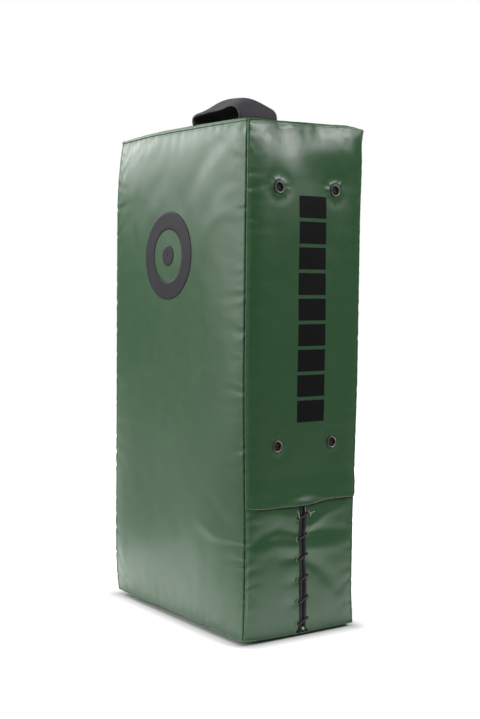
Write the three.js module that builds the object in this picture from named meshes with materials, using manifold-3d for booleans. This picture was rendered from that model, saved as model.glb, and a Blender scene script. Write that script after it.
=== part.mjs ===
// Kick pad: a tall striking shield of layered foam in a sewn vinyl cover with a laced closure.
// Millimetres, +Z up. The origin is the middle of the flat base, on the floor.
// -Y is the striking face, +X the side with the vents and the lacing, +Y the holder's side.
//
// Every sewn or padded piece is drawn flat on a plain box, seam to seam, and then crownedPoint
// swells the box into the filled shape, so that stacked layers keep their gaps.

import * as THREE from 'three';
import { mergeVertices } from 'three/addons/utils/BufferGeometryUtils.js';
import Module from 'manifold-3d';

const wasm = await Module();
wasm.setup();

// Body, seam to seam
const PAD_WIDTH = 362;
const PAD_THICKNESS = 208;
const PAD_HEIGHT = 740;
const SEAM_LIFT = 5; // height of the bottom seams over the floor
const BASE_FLAT = 0.5; // depth of the base's crown that its own weight presses flat

// Swell of the filled cover, and where it is drawn in
const FACE_CROWN = 10;
const SIDE_CROWN = 7;
const TOP_CROWN = 8;
const CORNER_DRAW = 2; // the vertical seams lean in by this much at the corners
const LACED_DRAW = 5; // the lacing draws each edge of its side in by this much
const CROWN_POWER = 5;
const CORNER_POWER = 16;
const LACED_POWER = 3;
const KNOT_SHARES = [0, 0.3, 0.55, 0.74, 0.87, 0.95, 1];
const LACED_DRAW_SHARES = [[0, 0.5], [0.025, 0.75], [0.065, 0.9], [0.13, 1], [0.225, 1], [0.35, 0.45], [0.5, 0]];

// Cover sheets and the gaps between layers
const COVER = 1.2;
const GAP = 0.35;
const FILL_GAP = 0.6; // round each foam layer
const SEAM_GAP = 0.25; // each panel stops this short of its seam line
const OVERRUN = 6; // how far a cutter reaches past what it cuts

// Foam layers
const STRIKING_FOAM = 40;
const BACKING_FOAM = 34;

// Upper panel of the laced side, whose hem hangs over the slot
const HEM_HEIGHT = 198;
const HEM_DIP = 3;
const HEM_OVERLAP = 24; // how far the laced halves run up under the hem
const HEM_SLOPE = 16; // height over which the hem steps out over them

// Lacing
const SLOT_WIDTH = 13;
const SLOT_MARGIN = 0.6; // vinyl between a hole and the slot's edge
const SLOT_CORNER = 13; // radius that rounds each half's lower corner at the slot
const LACE = 2.6;
const LACE_PLAY = 0.8;
const LACE_PITCH = 32;
const LACE_STAGGER = 6.5; // each back hole stands this much over the front one
const LOWEST_HOLE = 19;
const HIGHEST_HOLE_DROP = 11; // least drop from the hem to the top hole
const KNOT = 4.6;
const KNOT_CLIMB = 9; // height of each end knot over the hole beside it
const LACE_SIDES = 6;
const LACE_STEPS_PER_HOLE = 15;
const HOLE_SIDES = 10;
const OVER_BEND_SHARES = [[0.1, 0.05], [0.55, 0.42], [0.78, 1.1]];
const OVER_MIDDLE_SHARE = 0.55;
const CORNER_CUT_SHARES = [0.12, 0.3, 0.6, 1];
const KNOT_SPREAD_SHARE = 0.4;

// Bound facings and tongue behind the slot
const FACING = 1.5;
const FACING_SPLIT = 1.6; // gap between the two bound edges
const FACING_REACH = 18; // from the slot's middle line
const BEAD_RISE = 1.2; // how far a bound edge bulges up into the slot
const FACING_TOP = 14; // over the hem line
const TONGUE = 1.2;
const TONGUE_REACH = 23;
const TONGUE_TOP = 20;
const BEAD_SHARES = [0.2, 0.5, 0.8];

// Vents: eyelet, washer and screen
const VENT_INSET = 53.5; // from the side's vertical seams
const VENT_DROP = 93.5; // upper pair, under the top seam
const VENT_RISE = 87; // lower pair, over the hem
const VENT_BORE = 13.4;
const VENT_WALL = 0.6;
const VENT_FLANGE = 20;
const VENT_DOME = 1.5;
const WASHER = 1;
const WASHER_DIAMETER = 21;
const SCREEN = 0.8;
const SCREEN_DIAMETER = 17;
const POCKET_MARGIN = 1;
const ROUND_SIDES = 24;
const DOME_SHARES = [[1, 0.35], [0.86, 0.72], [0.6, 1], [0.32, 0.95], [0.08, 0.6]];

// Straps: shared sizes
const FOOT = 3;
const FOOT_LENGTH = 42;
const FOOT_TOE = 1.5; // reach of a foot inside its leg
const LEAN_DEGREES = 12; // how far each loop leans either way
const LEAN_CLEARANCE_SHARE = 1.06;
const STRAP_STEPS = 18;
const STRAP_CELLS = 6;

// Carrying handle on the top
const HANDLE_WIDTH = 70;
const HANDLE_THICKNESS = 5;
const HANDLE_SPAN = 124;
const HANDLE_RISE = 44;
const HANDLE_DROOP = 17; // the handle's long edges curl down by this much
const HANDLE_ROUTE_SHARES = [
  [1, 0], [1.04, 0.34], [0.93, 0.66], [0.58, 0.89], [0.16, 1],
  [-0.28, 0.94], [-0.72, 0.7], [-1.03, 0.36], [-1, 0],
];

// Forearm loops and hand grip on the back
const ARM_LOOP_WIDTH = 74;
const ARM_LOOP_THICKNESS = 4;
const ARM_LOOP_SPAN = 144;
const ARM_LOOP_RISE = 70;
const ARM_LOOP_DROOP = 5;
const LOWER_LOOP_HEIGHT = 235;
const UPPER_LOOP_HEIGHT = 425;
const GRIP_WIDTH = 34;
const GRIP_THICKNESS = 9;
const GRIP_SPAN = 118;
const GRIP_RISE = 46;
const GRIP_DROOP = 8;
const GRIP_HEIGHT = 585;
const LOOP_ROUTE_SHARES = [
  [1, 0], [1.03, 0.32], [0.92, 0.66], [0.55, 0.92], [0, 1],
  [-0.55, 0.92], [-0.92, 0.66], [-1.03, 0.32], [-1, 0],
];

// Finishes: colour, roughness, metalness
const GREEN_VINYL = [0x35502f, 0.42, 0];
const DARK_VINYL = [0x26262a, 0.55, 0];
const WEBBING = [0x2b2b2f, 0.8, 0];
const LACE_CORD = [0x151517, 0.7, 0];
const VENT_METAL = [0x8b8c80, 0.35, 0.9];
const SCREEN_MESH = [0x1b1b1e, 0.8, 0];
const FIRM_FOAM = [0x8f9296, 0.95, 0];
const SOFT_FOAM = [0xd9d6c8, 0.95, 0];

// Worked out from the sizes above
const HALF = [PAD_WIDTH / 2, PAD_THICKNESS / 2, PAD_HEIGHT / 2];
const CENTRE = [0, 0, SEAM_LIFT + HALF[2]];
const TOP_SEAM = SEAM_LIFT + PAD_HEIGHT;
const BASE_CROWN = SEAM_LIFT + BASE_FLAT;
const HOLE_RADIUS = LACE / 2 + LACE_PLAY;
const HOLE_OFFSET = SLOT_WIDTH / 2 + SLOT_MARGIN + HOLE_RADIUS;
const HOLE_ROWS = 1 + Math.floor(
  (HEM_HEIGHT - HIGHEST_HOLE_DROP - LOWEST_HOLE - LACE_STAGGER) / LACE_PITCH);
const FACING_DEPTH = COVER + GAP;
const HIDDEN_DEPTH = FACING_DEPTH + FACING + GAP;
const TONGUE_DEPTH = HIDDEN_DEPTH + KNOT + GAP;
const RELIEF_DEPTH = TONGUE_DEPTH + TONGUE + GAP;
const WASHER_DEPTH = COVER + GAP;
const SCREEN_DEPTH = WASHER_DEPTH + WASHER + GAP;
const POCKET_DEPTH = SCREEN_DEPTH + SCREEN + GAP;
const INNER_FLOOR = SEAM_LIFT + COVER + GAP;
const LEAN = THREE.MathUtils.degToRad(LEAN_DEGREES);

// The filled shape

function swell(share) {
  return Math.max(0, 1 - Math.abs(share) ** CROWN_POWER);
}

function lacedShare(z) {
  const share = Math.max(0, (z - SEAM_LIFT) / PAD_HEIGHT);
  const next = LACED_DRAW_SHARES.findIndex(([place]) => place > share);
  if (next < 0) return 0;
  const [lowPlace, lowDraw] = LACED_DRAW_SHARES[next - 1];
  const [highPlace, highDraw] = LACED_DRAW_SHARES[next];
  return THREE.MathUtils.mapLinear(share, lowPlace, highPlace, lowDraw, highDraw);
}

// Where a point of the flat-sided box ends up once the pad is filled
function crownedPoint([x, y, z]) {
  const across = x / HALF[0];
  const through = y / HALF[1];
  const up = (z - CENTRE[2]) / HALF[2];
  const corner = CORNER_DRAW * Math.abs(up) ** CORNER_POWER;
  const laced = LACED_DRAW * lacedShare(z) * Math.max(0, across) ** LACED_POWER;
  const endCrown = up > 0 ? TOP_CROWN : BASE_CROWN;
  return [
    x + across * (SIDE_CROWN * swell(through) * swell(up) - corner * through ** 2),
    y + through * (FACE_CROWN * swell(across) * swell(up) - corner * across ** 2 - laced),
    Math.max(z + up * endCrown * swell(across) * swell(through), z - SEAM_LIFT),
  ];
}

function reshape(geometry, move) {
  const place = geometry.getAttribute('position');
  for (let i = 0; i < place.count; i += 1) {
    place.setXYZ(i, ...move([place.getX(i), place.getY(i), place.getZ(i)]));
  }
  geometry.computeVertexNormals();
  return geometry;
}

function crowned(geometry) {
  return reshape(geometry, crownedPoint);
}

// Solids and booleans

function toSolid(geometry) {
  const bare = geometry.clone();
  bare.deleteAttribute('normal');
  bare.deleteAttribute('uv');
  const shape = mergeVertices(bare);
  return new wasm.Manifold(new wasm.Mesh({
    numProp: 3,
    vertProperties: Float32Array.from(shape.getAttribute('position').array),
    triVerts: Uint32Array.from(shape.getIndex().array),
  }));
}

function toGeometry(solid) {
  const mesh = solid.getMesh();
  const geometry = new THREE.BufferGeometry();
  geometry.setAttribute('position', new THREE.BufferAttribute(mesh.vertProperties, 3));
  geometry.setIndex(new THREE.BufferAttribute(mesh.triVerts, 1));
  geometry.computeVertexNormals();
  return geometry;
}

function cutBy(geometry, cutters) {
  let solid = toSolid(geometry);
  for (const cutter of cutters) solid = solid.subtract(toSolid(cutter));
  return toGeometry(solid);
}

// Lines of the shared grid between two places, so that neighbouring layers bend alike
function gridLines(axis, low, high, extra = []) {
  const shared = KNOT_SHARES.flatMap((share) => [
    CENTRE[axis] - share * HALF[axis], CENTRE[axis] + share * HALF[axis],
  ]);
  const inside = [...shared, ...extra].filter((line) => line > low + GAP && line < high - GAP);
  return [...new Set([low, ...inside, high])].sort((a, b) => a - b);
}

// A block with grid lines at the given places along X, Y and Z
function latticeBlock(lines) {
  const cells = lines.map((places) => places.length - 1);
  const block = new THREE.BoxGeometry(...cells, ...cells);
  return reshape(block, (point) => point.map(
    (value, axis) => lines[axis][Math.round(value + cells[axis] / 2)]));
}

function block(low, high, extra = [[], [], []]) {
  return latticeBlock([0, 1, 2].map((axis) => gridLines(axis, low[axis], high[axis], extra[axis])));
}

// Cover panels

// A sheet on one face of the flat box; its edges are mitred where they meet a seam
function coverSheet(axis, side, { low = {}, high = {}, extra } = {}) {
  const outer = CENTRE[axis] + side * HALF[axis];
  const inner = outer - side * COVER;
  const lowest = CENTRE.map((middle, i) => low[i] ?? middle - HALF[i] + SEAM_GAP);
  const highest = CENTRE.map((middle, i) => high[i] ?? middle + HALF[i] - SEAM_GAP);
  lowest[axis] = Math.min(outer, inner);
  highest[axis] = Math.max(outer, inner);
  return reshape(block(lowest, highest, extra), (point) => point.map((value, i) => {
    const offset = value - CENTRE[i];
    const atSeam = i !== axis && Math.abs(offset) > HALF[i] - 2 * SEAM_GAP;
    return atSeam ? value - Math.sign(offset) * Math.abs(outer - point[axis]) : value;
  }));
}

// The upper panel of the laced side: its hem steps out over the halves and dips in the middle
function lacedSideUpperPanel() {
  const overlapTop = HEM_HEIGHT + HEM_OVERLAP + GAP;
  const stepTop = overlapTop + HEM_SLOPE;
  const sheet = coverSheet(0, 1, {
    low: { 2: HEM_HEIGHT }, extra: [[], [], [overlapTop, stepTop]],
  });
  const hung = reshape(sheet, ([x, y, z]) => {
    const stepShare = THREE.MathUtils.clamp((stepTop - z) / HEM_SLOPE, 0, 1);
    const dip = z < HEM_HEIGHT + GAP ? HEM_DIP * swell(y / HALF[1]) : 0;
    return [x + stepShare * (COVER + GAP), y, z - dip];
  });
  return cutBy(crowned(hung), ventSeats().map((seat) => ventCutter(seat, VENT_BORE / 2 + VENT_WALL + GAP)));
}

function lacedHalf(side) {
  const edge = side * SLOT_WIDTH / 2;
  const range = side > 0 ? { low: { 1: edge } } : { high: { 1: edge } };
  const top = HEM_HEIGHT + HEM_OVERLAP;
  const bends = CORNER_CUT_SHARES.map((share) => SEAM_LIFT + share * SLOT_CORNER);
  const sheet = coverSheet(0, 1, {
    low: range.low, high: { ...range.high, 2: top }, extra: [[], [], bends],
  });
  const cut = reshape(sheet, ([x, y, z]) => [x, y + side * cornerCut(z) * nearSlotShare(y, edge), z]);
  return cutBy(crowned(cut), holeCutters(side));
}

// How far the round lower corner stands back from the slot's edge at a height
function cornerCut(z) {
  const rise = THREE.MathUtils.clamp(1 - (z - SEAM_LIFT) / SLOT_CORNER, 0, 1);
  return SLOT_CORNER * (1 - Math.sqrt(1 - rise ** 2));
}

// 1 at the slot's edge, falling to 0 at the side's vertical seam
function nearSlotShare(y, edge) {
  return THREE.MathUtils.clamp((HALF[1] - Math.abs(y)) / (HALF[1] - Math.abs(edge)), 0, 1);
}

// Lacing

function holeHeight(row, side) {
  return LOWEST_HOLE + row * LACE_PITCH + (side > 0 ? LACE_STAGGER : 0);
}

// A point under the laced face: depth below the flat face, place across the slot, height
function underFace(depth, y, z) {
  return new THREE.Vector3(...crownedPoint([HALF[0] - depth, y, z]));
}

function holeCutters(side) {
  return Array.from({ length: HOLE_ROWS }, (_, row) => {
    const length = 2 * (RELIEF_DEPTH + OVERRUN);
    const cutter = new THREE.CylinderGeometry(HOLE_RADIUS, HOLE_RADIUS, length, HOLE_SIDES);
    const seat = underFace(0, side * HOLE_OFFSET, holeHeight(row, side));
    return cutter.rotateZ(Math.PI / 2).translate(...seat);
  });
}

// A bound strip behind the vinyl, whose edge bulges into the slot
function slotFacing(side) {
  const inner = FACING_SPLIT / 2;
  const beadEnd = SLOT_WIDTH / 2 - GAP;
  const beadLines = [...BEAD_SHARES.map((share) => inner + share * (beadEnd - inner)), beadEnd];
  const edges = [side * inner, side * FACING_REACH].sort((a, b) => a - b);
  const low = [HALF[0] - FACING_DEPTH - FACING, edges[0], INNER_FLOOR + GAP];
  const high = [HALF[0] - FACING_DEPTH, edges[1], HEM_HEIGHT + FACING_TOP];
  const strip = block(low, high, [[], beadLines.map((line) => side * line), []]);
  const bound = reshape(strip, ([x, y, z]) => {
    const share = (Math.abs(y) - inner) / (beadEnd - inner);
    const bulge = share < 1 ? BEAD_RISE * Math.sin(Math.PI * share) : 0;
    return [x > HALF[0] - FACING_DEPTH - FACING / 2 ? x + bulge : x, y, z];
  });
  return cutBy(crowned(bound), holeCutters(side));
}

function slotTongue() {
  const low = [HALF[0] - TONGUE_DEPTH - TONGUE, -TONGUE_REACH, INNER_FLOOR + GAP];
  const high = [HALF[0] - TONGUE_DEPTH, TONGUE_REACH, HEM_HEIGHT + TONGUE_TOP];
  return crowned(block(low, high));
}

// The lace's way through one hole, from the outer face to the inner side
function throughHole(row, side) {
  const height = holeHeight(row, side);
  const bend = (level, direction, [out, drift]) => underFace(
    level - direction * out * LACE, side * (HOLE_OFFSET - drift * LACE), height);
  const innerLevel = HIDDEN_DEPTH - GAP;
  return [
    ...OVER_BEND_SHARES.map((shares) => bend(0, 1, shares)).reverse(),
    ...OVER_BEND_SHARES.map((shares) => bend(innerLevel, -1, shares)),
  ];
}

// One lace: over the slot from each back hole to the front one, then down behind to the next
function laceRoute() {
  const knotDepth = HIDDEN_DEPTH + KNOT / 2;
  const knotSpread = KNOT_SPREAD_SHARE * HOLE_OFFSET;
  const points = [
    underFace(knotDepth, knotSpread, holeHeight(HOLE_ROWS - 1, 1) + KNOT_CLIMB),
  ];
  for (let row = HOLE_ROWS - 1; row >= 0; row -= 1) {
    const middle = (holeHeight(row, 1) + holeHeight(row, -1)) / 2;
    points.push(...throughHole(row, 1).reverse());
    points.push(underFace(-OVER_MIDDLE_SHARE * LACE, 0, middle));
    points.push(...throughHole(row, -1));
  }
  points.push(underFace(knotDepth, -knotSpread, holeHeight(0, -1) + KNOT_CLIMB));
  return new THREE.CatmullRomCurve3(points, false, 'centripetal');
}

function lace() {
  const route = laceRoute();
  const section = new THREE.Shape(Array.from({ length: LACE_SIDES }, (_, i) => {
    const angle = 2 * Math.PI * i / LACE_SIDES;
    return new THREE.Vector2(Math.cos(angle), Math.sin(angle)).multiplyScalar(LACE / 2);
  }));
  const steps = 2 * HOLE_ROWS * LACE_STEPS_PER_HOLE;
  printLeastGap(route.getSpacedPoints(steps));
  let cord = toSolid(new THREE.ExtrudeGeometry(section, { steps, extrudePath: route }));
  for (const end of [0, 1]) {
    const knot = new THREE.SphereGeometry(KNOT / 2, HOLE_SIDES, LACE_SIDES);
    cord = cord.add(toSolid(knot.translate(...route.getPoint(end))));
  }
  return toGeometry(cord);
}

// Least gap of the lace to itself, measured on points more than two pitches of thread apart
function printLeastGap(points) {
  let least = Infinity;
  const spacing = points[0].distanceTo(points[1]);
  const apart = Math.ceil(3 * LACE / spacing);
  for (let i = 0; i < points.length; i += 1) {
    for (let j = i + apart; j < points.length; j += 1) {
      least = Math.min(least, points[i].distanceTo(points[j]) - LACE);
    }
  }
  console.log(`least gap of the lace to itself: ${least.toFixed(2)} mm`);
}

// Vents

// The four seats on the laced side, with the outward normal of the filled face
function ventSeats() {
  const heights = [HEM_HEIGHT + VENT_RISE, TOP_SEAM - VENT_DROP];
  const across = [-HALF[1] + VENT_INSET, HALF[1] - VENT_INSET];
  return heights.flatMap((z) => across.map((y) => {
    const place = underFace(0, y, z);
    const alongY = underFace(0, y + COVER, z).sub(place);
    const alongZ = underFace(0, y, z + COVER).sub(place);
    const normal = alongY.cross(alongZ).normalize();
    const turn = new THREE.Quaternion().setFromUnitVectors(new THREE.Vector3(0, 1, 0), normal);
    return { place, turn };
  }));
}

function ventCutter(seat, radius) {
  const cutter = new THREE.CylinderGeometry(radius, radius, 2 * OVERRUN, ROUND_SIDES);
  return cutter.applyQuaternion(seat.turn).translate(...seat.place);
}

function pocketCutter(seat) {
  const radius = WASHER_DIAMETER / 2 + POCKET_MARGIN;
  const cutter = new THREE.CylinderGeometry(radius, radius, POCKET_DEPTH + OVERRUN, ROUND_SIDES);
  cutter.translate(0, (OVERRUN - POCKET_DEPTH) / 2, 0);
  return cutter.applyQuaternion(seat.turn).translate(...seat.place);
}

// A ring turned about Y from corners listed anticlockwise as [radius, height]
function ring(corners) {
  const outline = [...corners, corners[0]].map(([radius, height]) => new THREE.Vector2(radius, height));
  return new THREE.LatheGeometry(outline, ROUND_SIDES);
}

function ventEyelet() {
  const bore = VENT_BORE / 2;
  const barrel = bore + VENT_WALL;
  const flange = VENT_FLANGE / 2;
  const dome = DOME_SHARES.map(([reach, rise]) => [
    bore + reach * (flange - bore), GAP + rise * VENT_DOME,
  ]);
  const end = -WASHER_DEPTH - WASHER;
  return ring([[bore, end], [barrel, end], [barrel, GAP], [flange, GAP], ...dome, [bore, GAP]]);
}

function ventWasher() {
  const inner = VENT_BORE / 2 + VENT_WALL + GAP;
  const outer = WASHER_DIAMETER / 2;
  const [low, high] = [-WASHER_DEPTH - WASHER, -WASHER_DEPTH];
  return ring([[inner, low], [outer, low], [outer, high], [inner, high]]);
}

function ventScreen() {
  const disc = new THREE.CylinderGeometry(SCREEN_DIAMETER / 2, SCREEN_DIAMETER / 2, SCREEN, ROUND_SIDES);
  return disc.translate(0, -SCREEN_DEPTH - SCREEN / 2, 0);
}

// Foam

function foamLayer(front, back) {
  const inset = COVER + FILL_GAP;
  const low = [-HALF[0] + inset, front, CENTRE[2] - HALF[2] + inset];
  const high = [HALF[0] - inset, back, CENTRE[2] + HALF[2] - inset];
  const relief = crowned(block(
    [HALF[0] - RELIEF_DEPTH, -TONGUE_REACH - GAP, SEAM_LIFT - OVERRUN],
    [HALF[0] + OVERRUN, TONGUE_REACH + GAP, HEM_HEIGHT + TONGUE_TOP + GAP]));
  return cutBy(crowned(block(low, high)), [relief, ...ventSeats().map(pocketCutter)]);
}

// Straps

// A strap arched over its two feet. It runs along X and stands up along Z. Its legs end on a
// shallow V, which leaves room for the loop to lean about its own foot line.
function strapLoop({ width, thickness, span, rise, droop, route }) {
  const points = route.map(([out, up]) => new THREE.Vector3(out * span / 2, 0, up * rise));
  const path = new THREE.CatmullRomCurve3(points, false, 'centripetal');
  const strip = new THREE.BoxGeometry(1, width, thickness, STRAP_STEPS, STRAP_CELLS, 1);
  return reshape(strip, ([along, y, depth]) => {
    const share = 1 / 2 - along;
    const place = path.getPointAt(share);
    const tangent = path.getTangentAt(share);
    const arch = Math.sin(Math.PI * share) ** 2;
    const edge = Math.abs(2 * y / width);
    const lift = LEAN_CLEARANCE_SHARE * Math.tan(LEAN) * Math.abs(y);
    const z = Math.max(0, place.z - tangent.x * depth);
    const sagged = z - droop * arch * edge ** 2;
    return [place.x + tangent.z * depth, y, lift + sagged * (1 - lift / rise)];
  });
}

// A strap's sewn end, flat on the panel and swollen with it; axis is the panel's normal
function strapFoot(axis, side, { width, thickness, span }, height) {
  const across = axis === 2 ? 1 : 2;
  const inner = span / 2 - thickness / 2 - FOOT_TOE;
  const outer = span / 2 + FOOT_LENGTH;
  const low = [Math.min(side * inner, side * outer), 0, 0];
  const high = [Math.max(side * inner, side * outer), 0, 0];
  const face = CENTRE[axis] + HALF[axis] + GAP;
  [low[axis], high[axis]] = [face, face + FOOT];
  [low[across], high[across]] = [height - width / 2, height + width / 2];
  return crowned(block(low, high));
}

// Where a loop's foot line lies over the higher of its feet, on the panel's own swelling
function footLine(axis, { span }, height) {
  return GAP + Math.max(...[-1, 1].map((side) => {
    const point = [side * span / 2, 0, height];
    point[axis] = CENTRE[axis] + HALF[axis] + GAP + FOOT;
    return crownedPoint(point)[axis];
  }));
}

const HANDLE = {
  width: HANDLE_WIDTH, thickness: HANDLE_THICKNESS, span: HANDLE_SPAN,
  rise: HANDLE_RISE, droop: HANDLE_DROOP, route: HANDLE_ROUTE_SHARES,
};
const ARM_LOOP = {
  width: ARM_LOOP_WIDTH, thickness: ARM_LOOP_THICKNESS, span: ARM_LOOP_SPAN,
  rise: ARM_LOOP_RISE, droop: ARM_LOOP_DROOP, route: LOOP_ROUTE_SHARES,
};
const GRIP = {
  width: GRIP_WIDTH, thickness: GRIP_THICKNESS, span: GRIP_SPAN,
  rise: GRIP_RISE, droop: GRIP_DROOP, route: LOOP_ROUTE_SHARES,
};

// Assembly

const kickPad = new THREE.Group();

function addPiece(name, geometry, [color, roughness, metalness]) {
  const mesh = new THREE.Mesh(geometry, new THREE.MeshStandardMaterial({ color, roughness, metalness }));
  mesh.name = name;
  kickPad.add(mesh);
  return mesh;
}

function addCover() {
  addPiece('striking_panel', crowned(coverSheet(1, -1)), GREEN_VINYL);
  addPiece('back_panel', crowned(coverSheet(1, 1)), GREEN_VINYL);
  addPiece('plain_side_panel', crowned(coverSheet(0, -1)), GREEN_VINYL);
  addPiece('top_panel', crowned(coverSheet(2, 1)), GREEN_VINYL);
  addPiece('base_panel', crowned(coverSheet(2, -1)), GREEN_VINYL);
  addPiece('laced_side_upper_panel', lacedSideUpperPanel(), GREEN_VINYL);
  addPiece('laced_side_front_half', lacedHalf(-1), GREEN_VINYL);
  addPiece('laced_side_back_half', lacedHalf(1), GREEN_VINYL);
}

function addClosure() {
  addPiece('slot_facing_front', slotFacing(-1), DARK_VINYL);
  addPiece('slot_facing_back', slotFacing(1), DARK_VINYL);
  addPiece('slot_tongue', slotTongue(), DARK_VINYL);
  addPiece('lace', lace(), LACE_CORD);
}

function addVents() {
  const names = ['lower_front', 'lower_back', 'upper_front', 'upper_back'];
  ventSeats().forEach(({ place, turn }, i) => {
    const pieces = [
      addPiece(`vent_eyelet_${names[i]}`, ventEyelet(), VENT_METAL),
      addPiece(`vent_washer_${names[i]}`, ventWasher(), VENT_METAL),
      addPiece(`vent_screen_${names[i]}`, ventScreen(), SCREEN_MESH),
    ];
    for (const piece of pieces) {
      piece.position.copy(place);
      piece.quaternion.copy(turn);
    }
  });
}

function addFoam() {
  const inset = COVER + FILL_GAP;
  const strikingBack = -HALF[1] + inset + STRIKING_FOAM;
  const backingFront = HALF[1] - inset - BACKING_FOAM;
  addPiece('striking_foam', foamLayer(-HALF[1] + inset, strikingBack), FIRM_FOAM);
  addPiece('core_foam', foamLayer(strikingBack + FILL_GAP, backingFront - FILL_GAP), SOFT_FOAM);
  addPiece('backing_foam', foamLayer(backingFront, HALF[1] - inset), FIRM_FOAM);
}

function addHandle() {
  const loop = addPiece('top_handle', strapLoop(HANDLE), WEBBING);
  loop.position.z = footLine(2, HANDLE, 0);
  addPiece('top_handle_right_foot', strapFoot(2, 1, HANDLE, 0), WEBBING);
  addPiece('top_handle_left_foot', strapFoot(2, -1, HANDLE, 0), WEBBING);
}

function addBackStrap(name, strap, height) {
  const loop = addPiece(name, strapLoop(strap), WEBBING);
  loop.rotation.x = -Math.PI / 2;
  loop.position.set(0, footLine(1, strap, height), height);
  addPiece(`${name}_right_foot`, strapFoot(1, 1, strap, height), WEBBING);
  addPiece(`${name}_left_foot`, strapFoot(1, -1, strap, height), WEBBING);
}

addCover();
addClosure();
addVents();
addFoam();
addHandle();
addBackStrap('lower_arm_loop', ARM_LOOP, LOWER_LOOP_HEIGHT);
addBackStrap('upper_arm_loop', ARM_LOOP, UPPER_LOOP_HEIGHT);
addBackStrap('hand_grip', GRIP, GRIP_HEIGHT);

export default kickPad;
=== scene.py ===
import math

import bmesh
import bpy
import numpy as np
from mathutils import Matrix, Vector


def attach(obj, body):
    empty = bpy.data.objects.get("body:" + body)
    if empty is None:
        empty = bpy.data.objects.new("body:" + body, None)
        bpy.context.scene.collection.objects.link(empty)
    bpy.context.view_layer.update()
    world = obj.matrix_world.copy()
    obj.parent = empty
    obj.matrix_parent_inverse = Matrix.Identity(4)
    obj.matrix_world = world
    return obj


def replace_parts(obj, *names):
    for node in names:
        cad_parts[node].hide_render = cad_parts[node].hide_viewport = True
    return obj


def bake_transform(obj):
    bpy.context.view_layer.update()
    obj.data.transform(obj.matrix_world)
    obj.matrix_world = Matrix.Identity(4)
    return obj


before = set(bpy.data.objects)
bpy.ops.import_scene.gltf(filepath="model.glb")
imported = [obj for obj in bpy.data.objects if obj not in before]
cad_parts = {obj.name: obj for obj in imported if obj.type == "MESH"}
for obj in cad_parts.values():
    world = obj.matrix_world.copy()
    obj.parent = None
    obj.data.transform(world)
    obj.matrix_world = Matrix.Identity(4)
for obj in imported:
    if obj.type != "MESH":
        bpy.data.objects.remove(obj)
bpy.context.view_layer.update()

TAU = 2 * math.pi

# Sizes that the CAD source fixes, in metres
HALF = np.array([0.181, 0.104, 0.370])
CENTRE = np.array([0.0, 0.0, 0.375])
SEAM_LIFT = 0.005
TOP_SEAM = 0.745
FACE_CROWN = 0.010
SIDE_CROWN = 0.007
TOP_CROWN = 0.008
BASE_CROWN = 0.0055
CORNER_DRAW = 0.002
LACED_DRAW = 0.005
LACED_TABLE = ((0, 0.025, 0.065, 0.13, 0.225, 0.35, 0.5), (0.5, 0.75, 0.9, 1, 1, 0.45, 0))
COVER = 0.0012
GAP = 0.00035
HEM_HEIGHT = 0.198
HEM_OVERLAP = 0.024
HEM_SLOPE = 0.016
SLOT_HALF = 0.0065
LACE = 0.0026
HOLE_OFFSET = 0.0092
HOLE_RADIUS = 0.0021
HOLE_ROWS = 6
LOWEST_HOLE = 0.019
LACE_PITCH = 0.032
LACE_STAGGER = 0.0065
FACING = 0.0015
FACING_DEPTH = COVER + GAP
HIDDEN_DEPTH = FACING_DEPTH + FACING + GAP
KNOT = 0.0046
TONGUE_DEPTH = HIDDEN_DEPTH + KNOT + GAP
VENT_ACROSS = 0.0505
VENT_HEIGHTS = {"lower": 0.285, "upper": 0.6515}
VENTS = {
    f"{level}_{place}": (side * VENT_ACROSS, height)
    for level, height in VENT_HEIGHTS.items() for place, side in (("front", -1), ("back", 1))
}
VENT_FLANGE = 0.010

# Sizes of the looks alone: the hole under a vent's rim, and how round the box's edges are
VENT_CUT = 0.0082
EDGE_RADIUS = 0.004

# Where the stitched groove runs beside each seam
CORNER_GROOVE = 0.0014
SIDE_GROOVE = 0.0036
GROOVE = 0.0040
FRONT_TOP_GROOVE = 0.0046
SIDE_TOP_GROOVE = 0.0030


# Sums that the shapes share

def unit(vectors):
    return vectors / np.linalg.norm(vectors, axis=-1, keepdims=True)


def smooth(x, low, high):
    t = np.clip((x - low) / (high - low), 0, 1)
    return t * t * (3 - 2 * t)


def bump(x, width):
    return np.exp(-(x / width) ** 2)


# The filled shape: the swell is the CAD source's, and the settling belongs to the looks alone

def swell(share):
    return np.maximum(0, 1 - np.abs(share) ** 5)


# How use has pushed the corners and edges about: place, reach each way, and shift
SETTLED = (
    ((-0.181, -0.104, 0.745), (0.080, 0.050, 0.060), (0.0050, 0.0030, -0.0030)),
    ((-0.181, -0.104, 0.005), (0.045, 0.050, 0.050), (0.0020, 0.0010, 0.0020)),
    ((0.000, -0.104, 0.005), (0.155, 0.030, 0.035), (0.0, 0.0, 0.0060)),
    ((0.181, 0.104, 0.745), (0.030, 0.018, 0.016), (0.0020, 0.0050, -0.0030)),
    ((0.181, 0.085, 0.745), (0.040, 0.036, 0.030), (0.0, 0.0010, 0.0027)),
    ((0.181, 0.104, 0.005), (0.030, 0.030, 0.030), (0.0010, 0.0040, 0.0)),
    ((0.181, 0.104, 0.690), (0.080, 0.022, 0.045), (0.0, 0.0020, 0.0)),
    ((0.181, -0.028, 0.745), (0.060, 0.044, 0.050), (-0.0110, 0.0, 0.0)),
)


def settled(p):
    moved = np.zeros(p.shape)
    for place, reach, shift in SETTLED:
        near = np.exp(-(((p - np.array(place)) / np.array(reach)) ** 2).sum(-1))
        moved = moved + near[..., None] * np.array(shift)
    return moved


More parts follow.
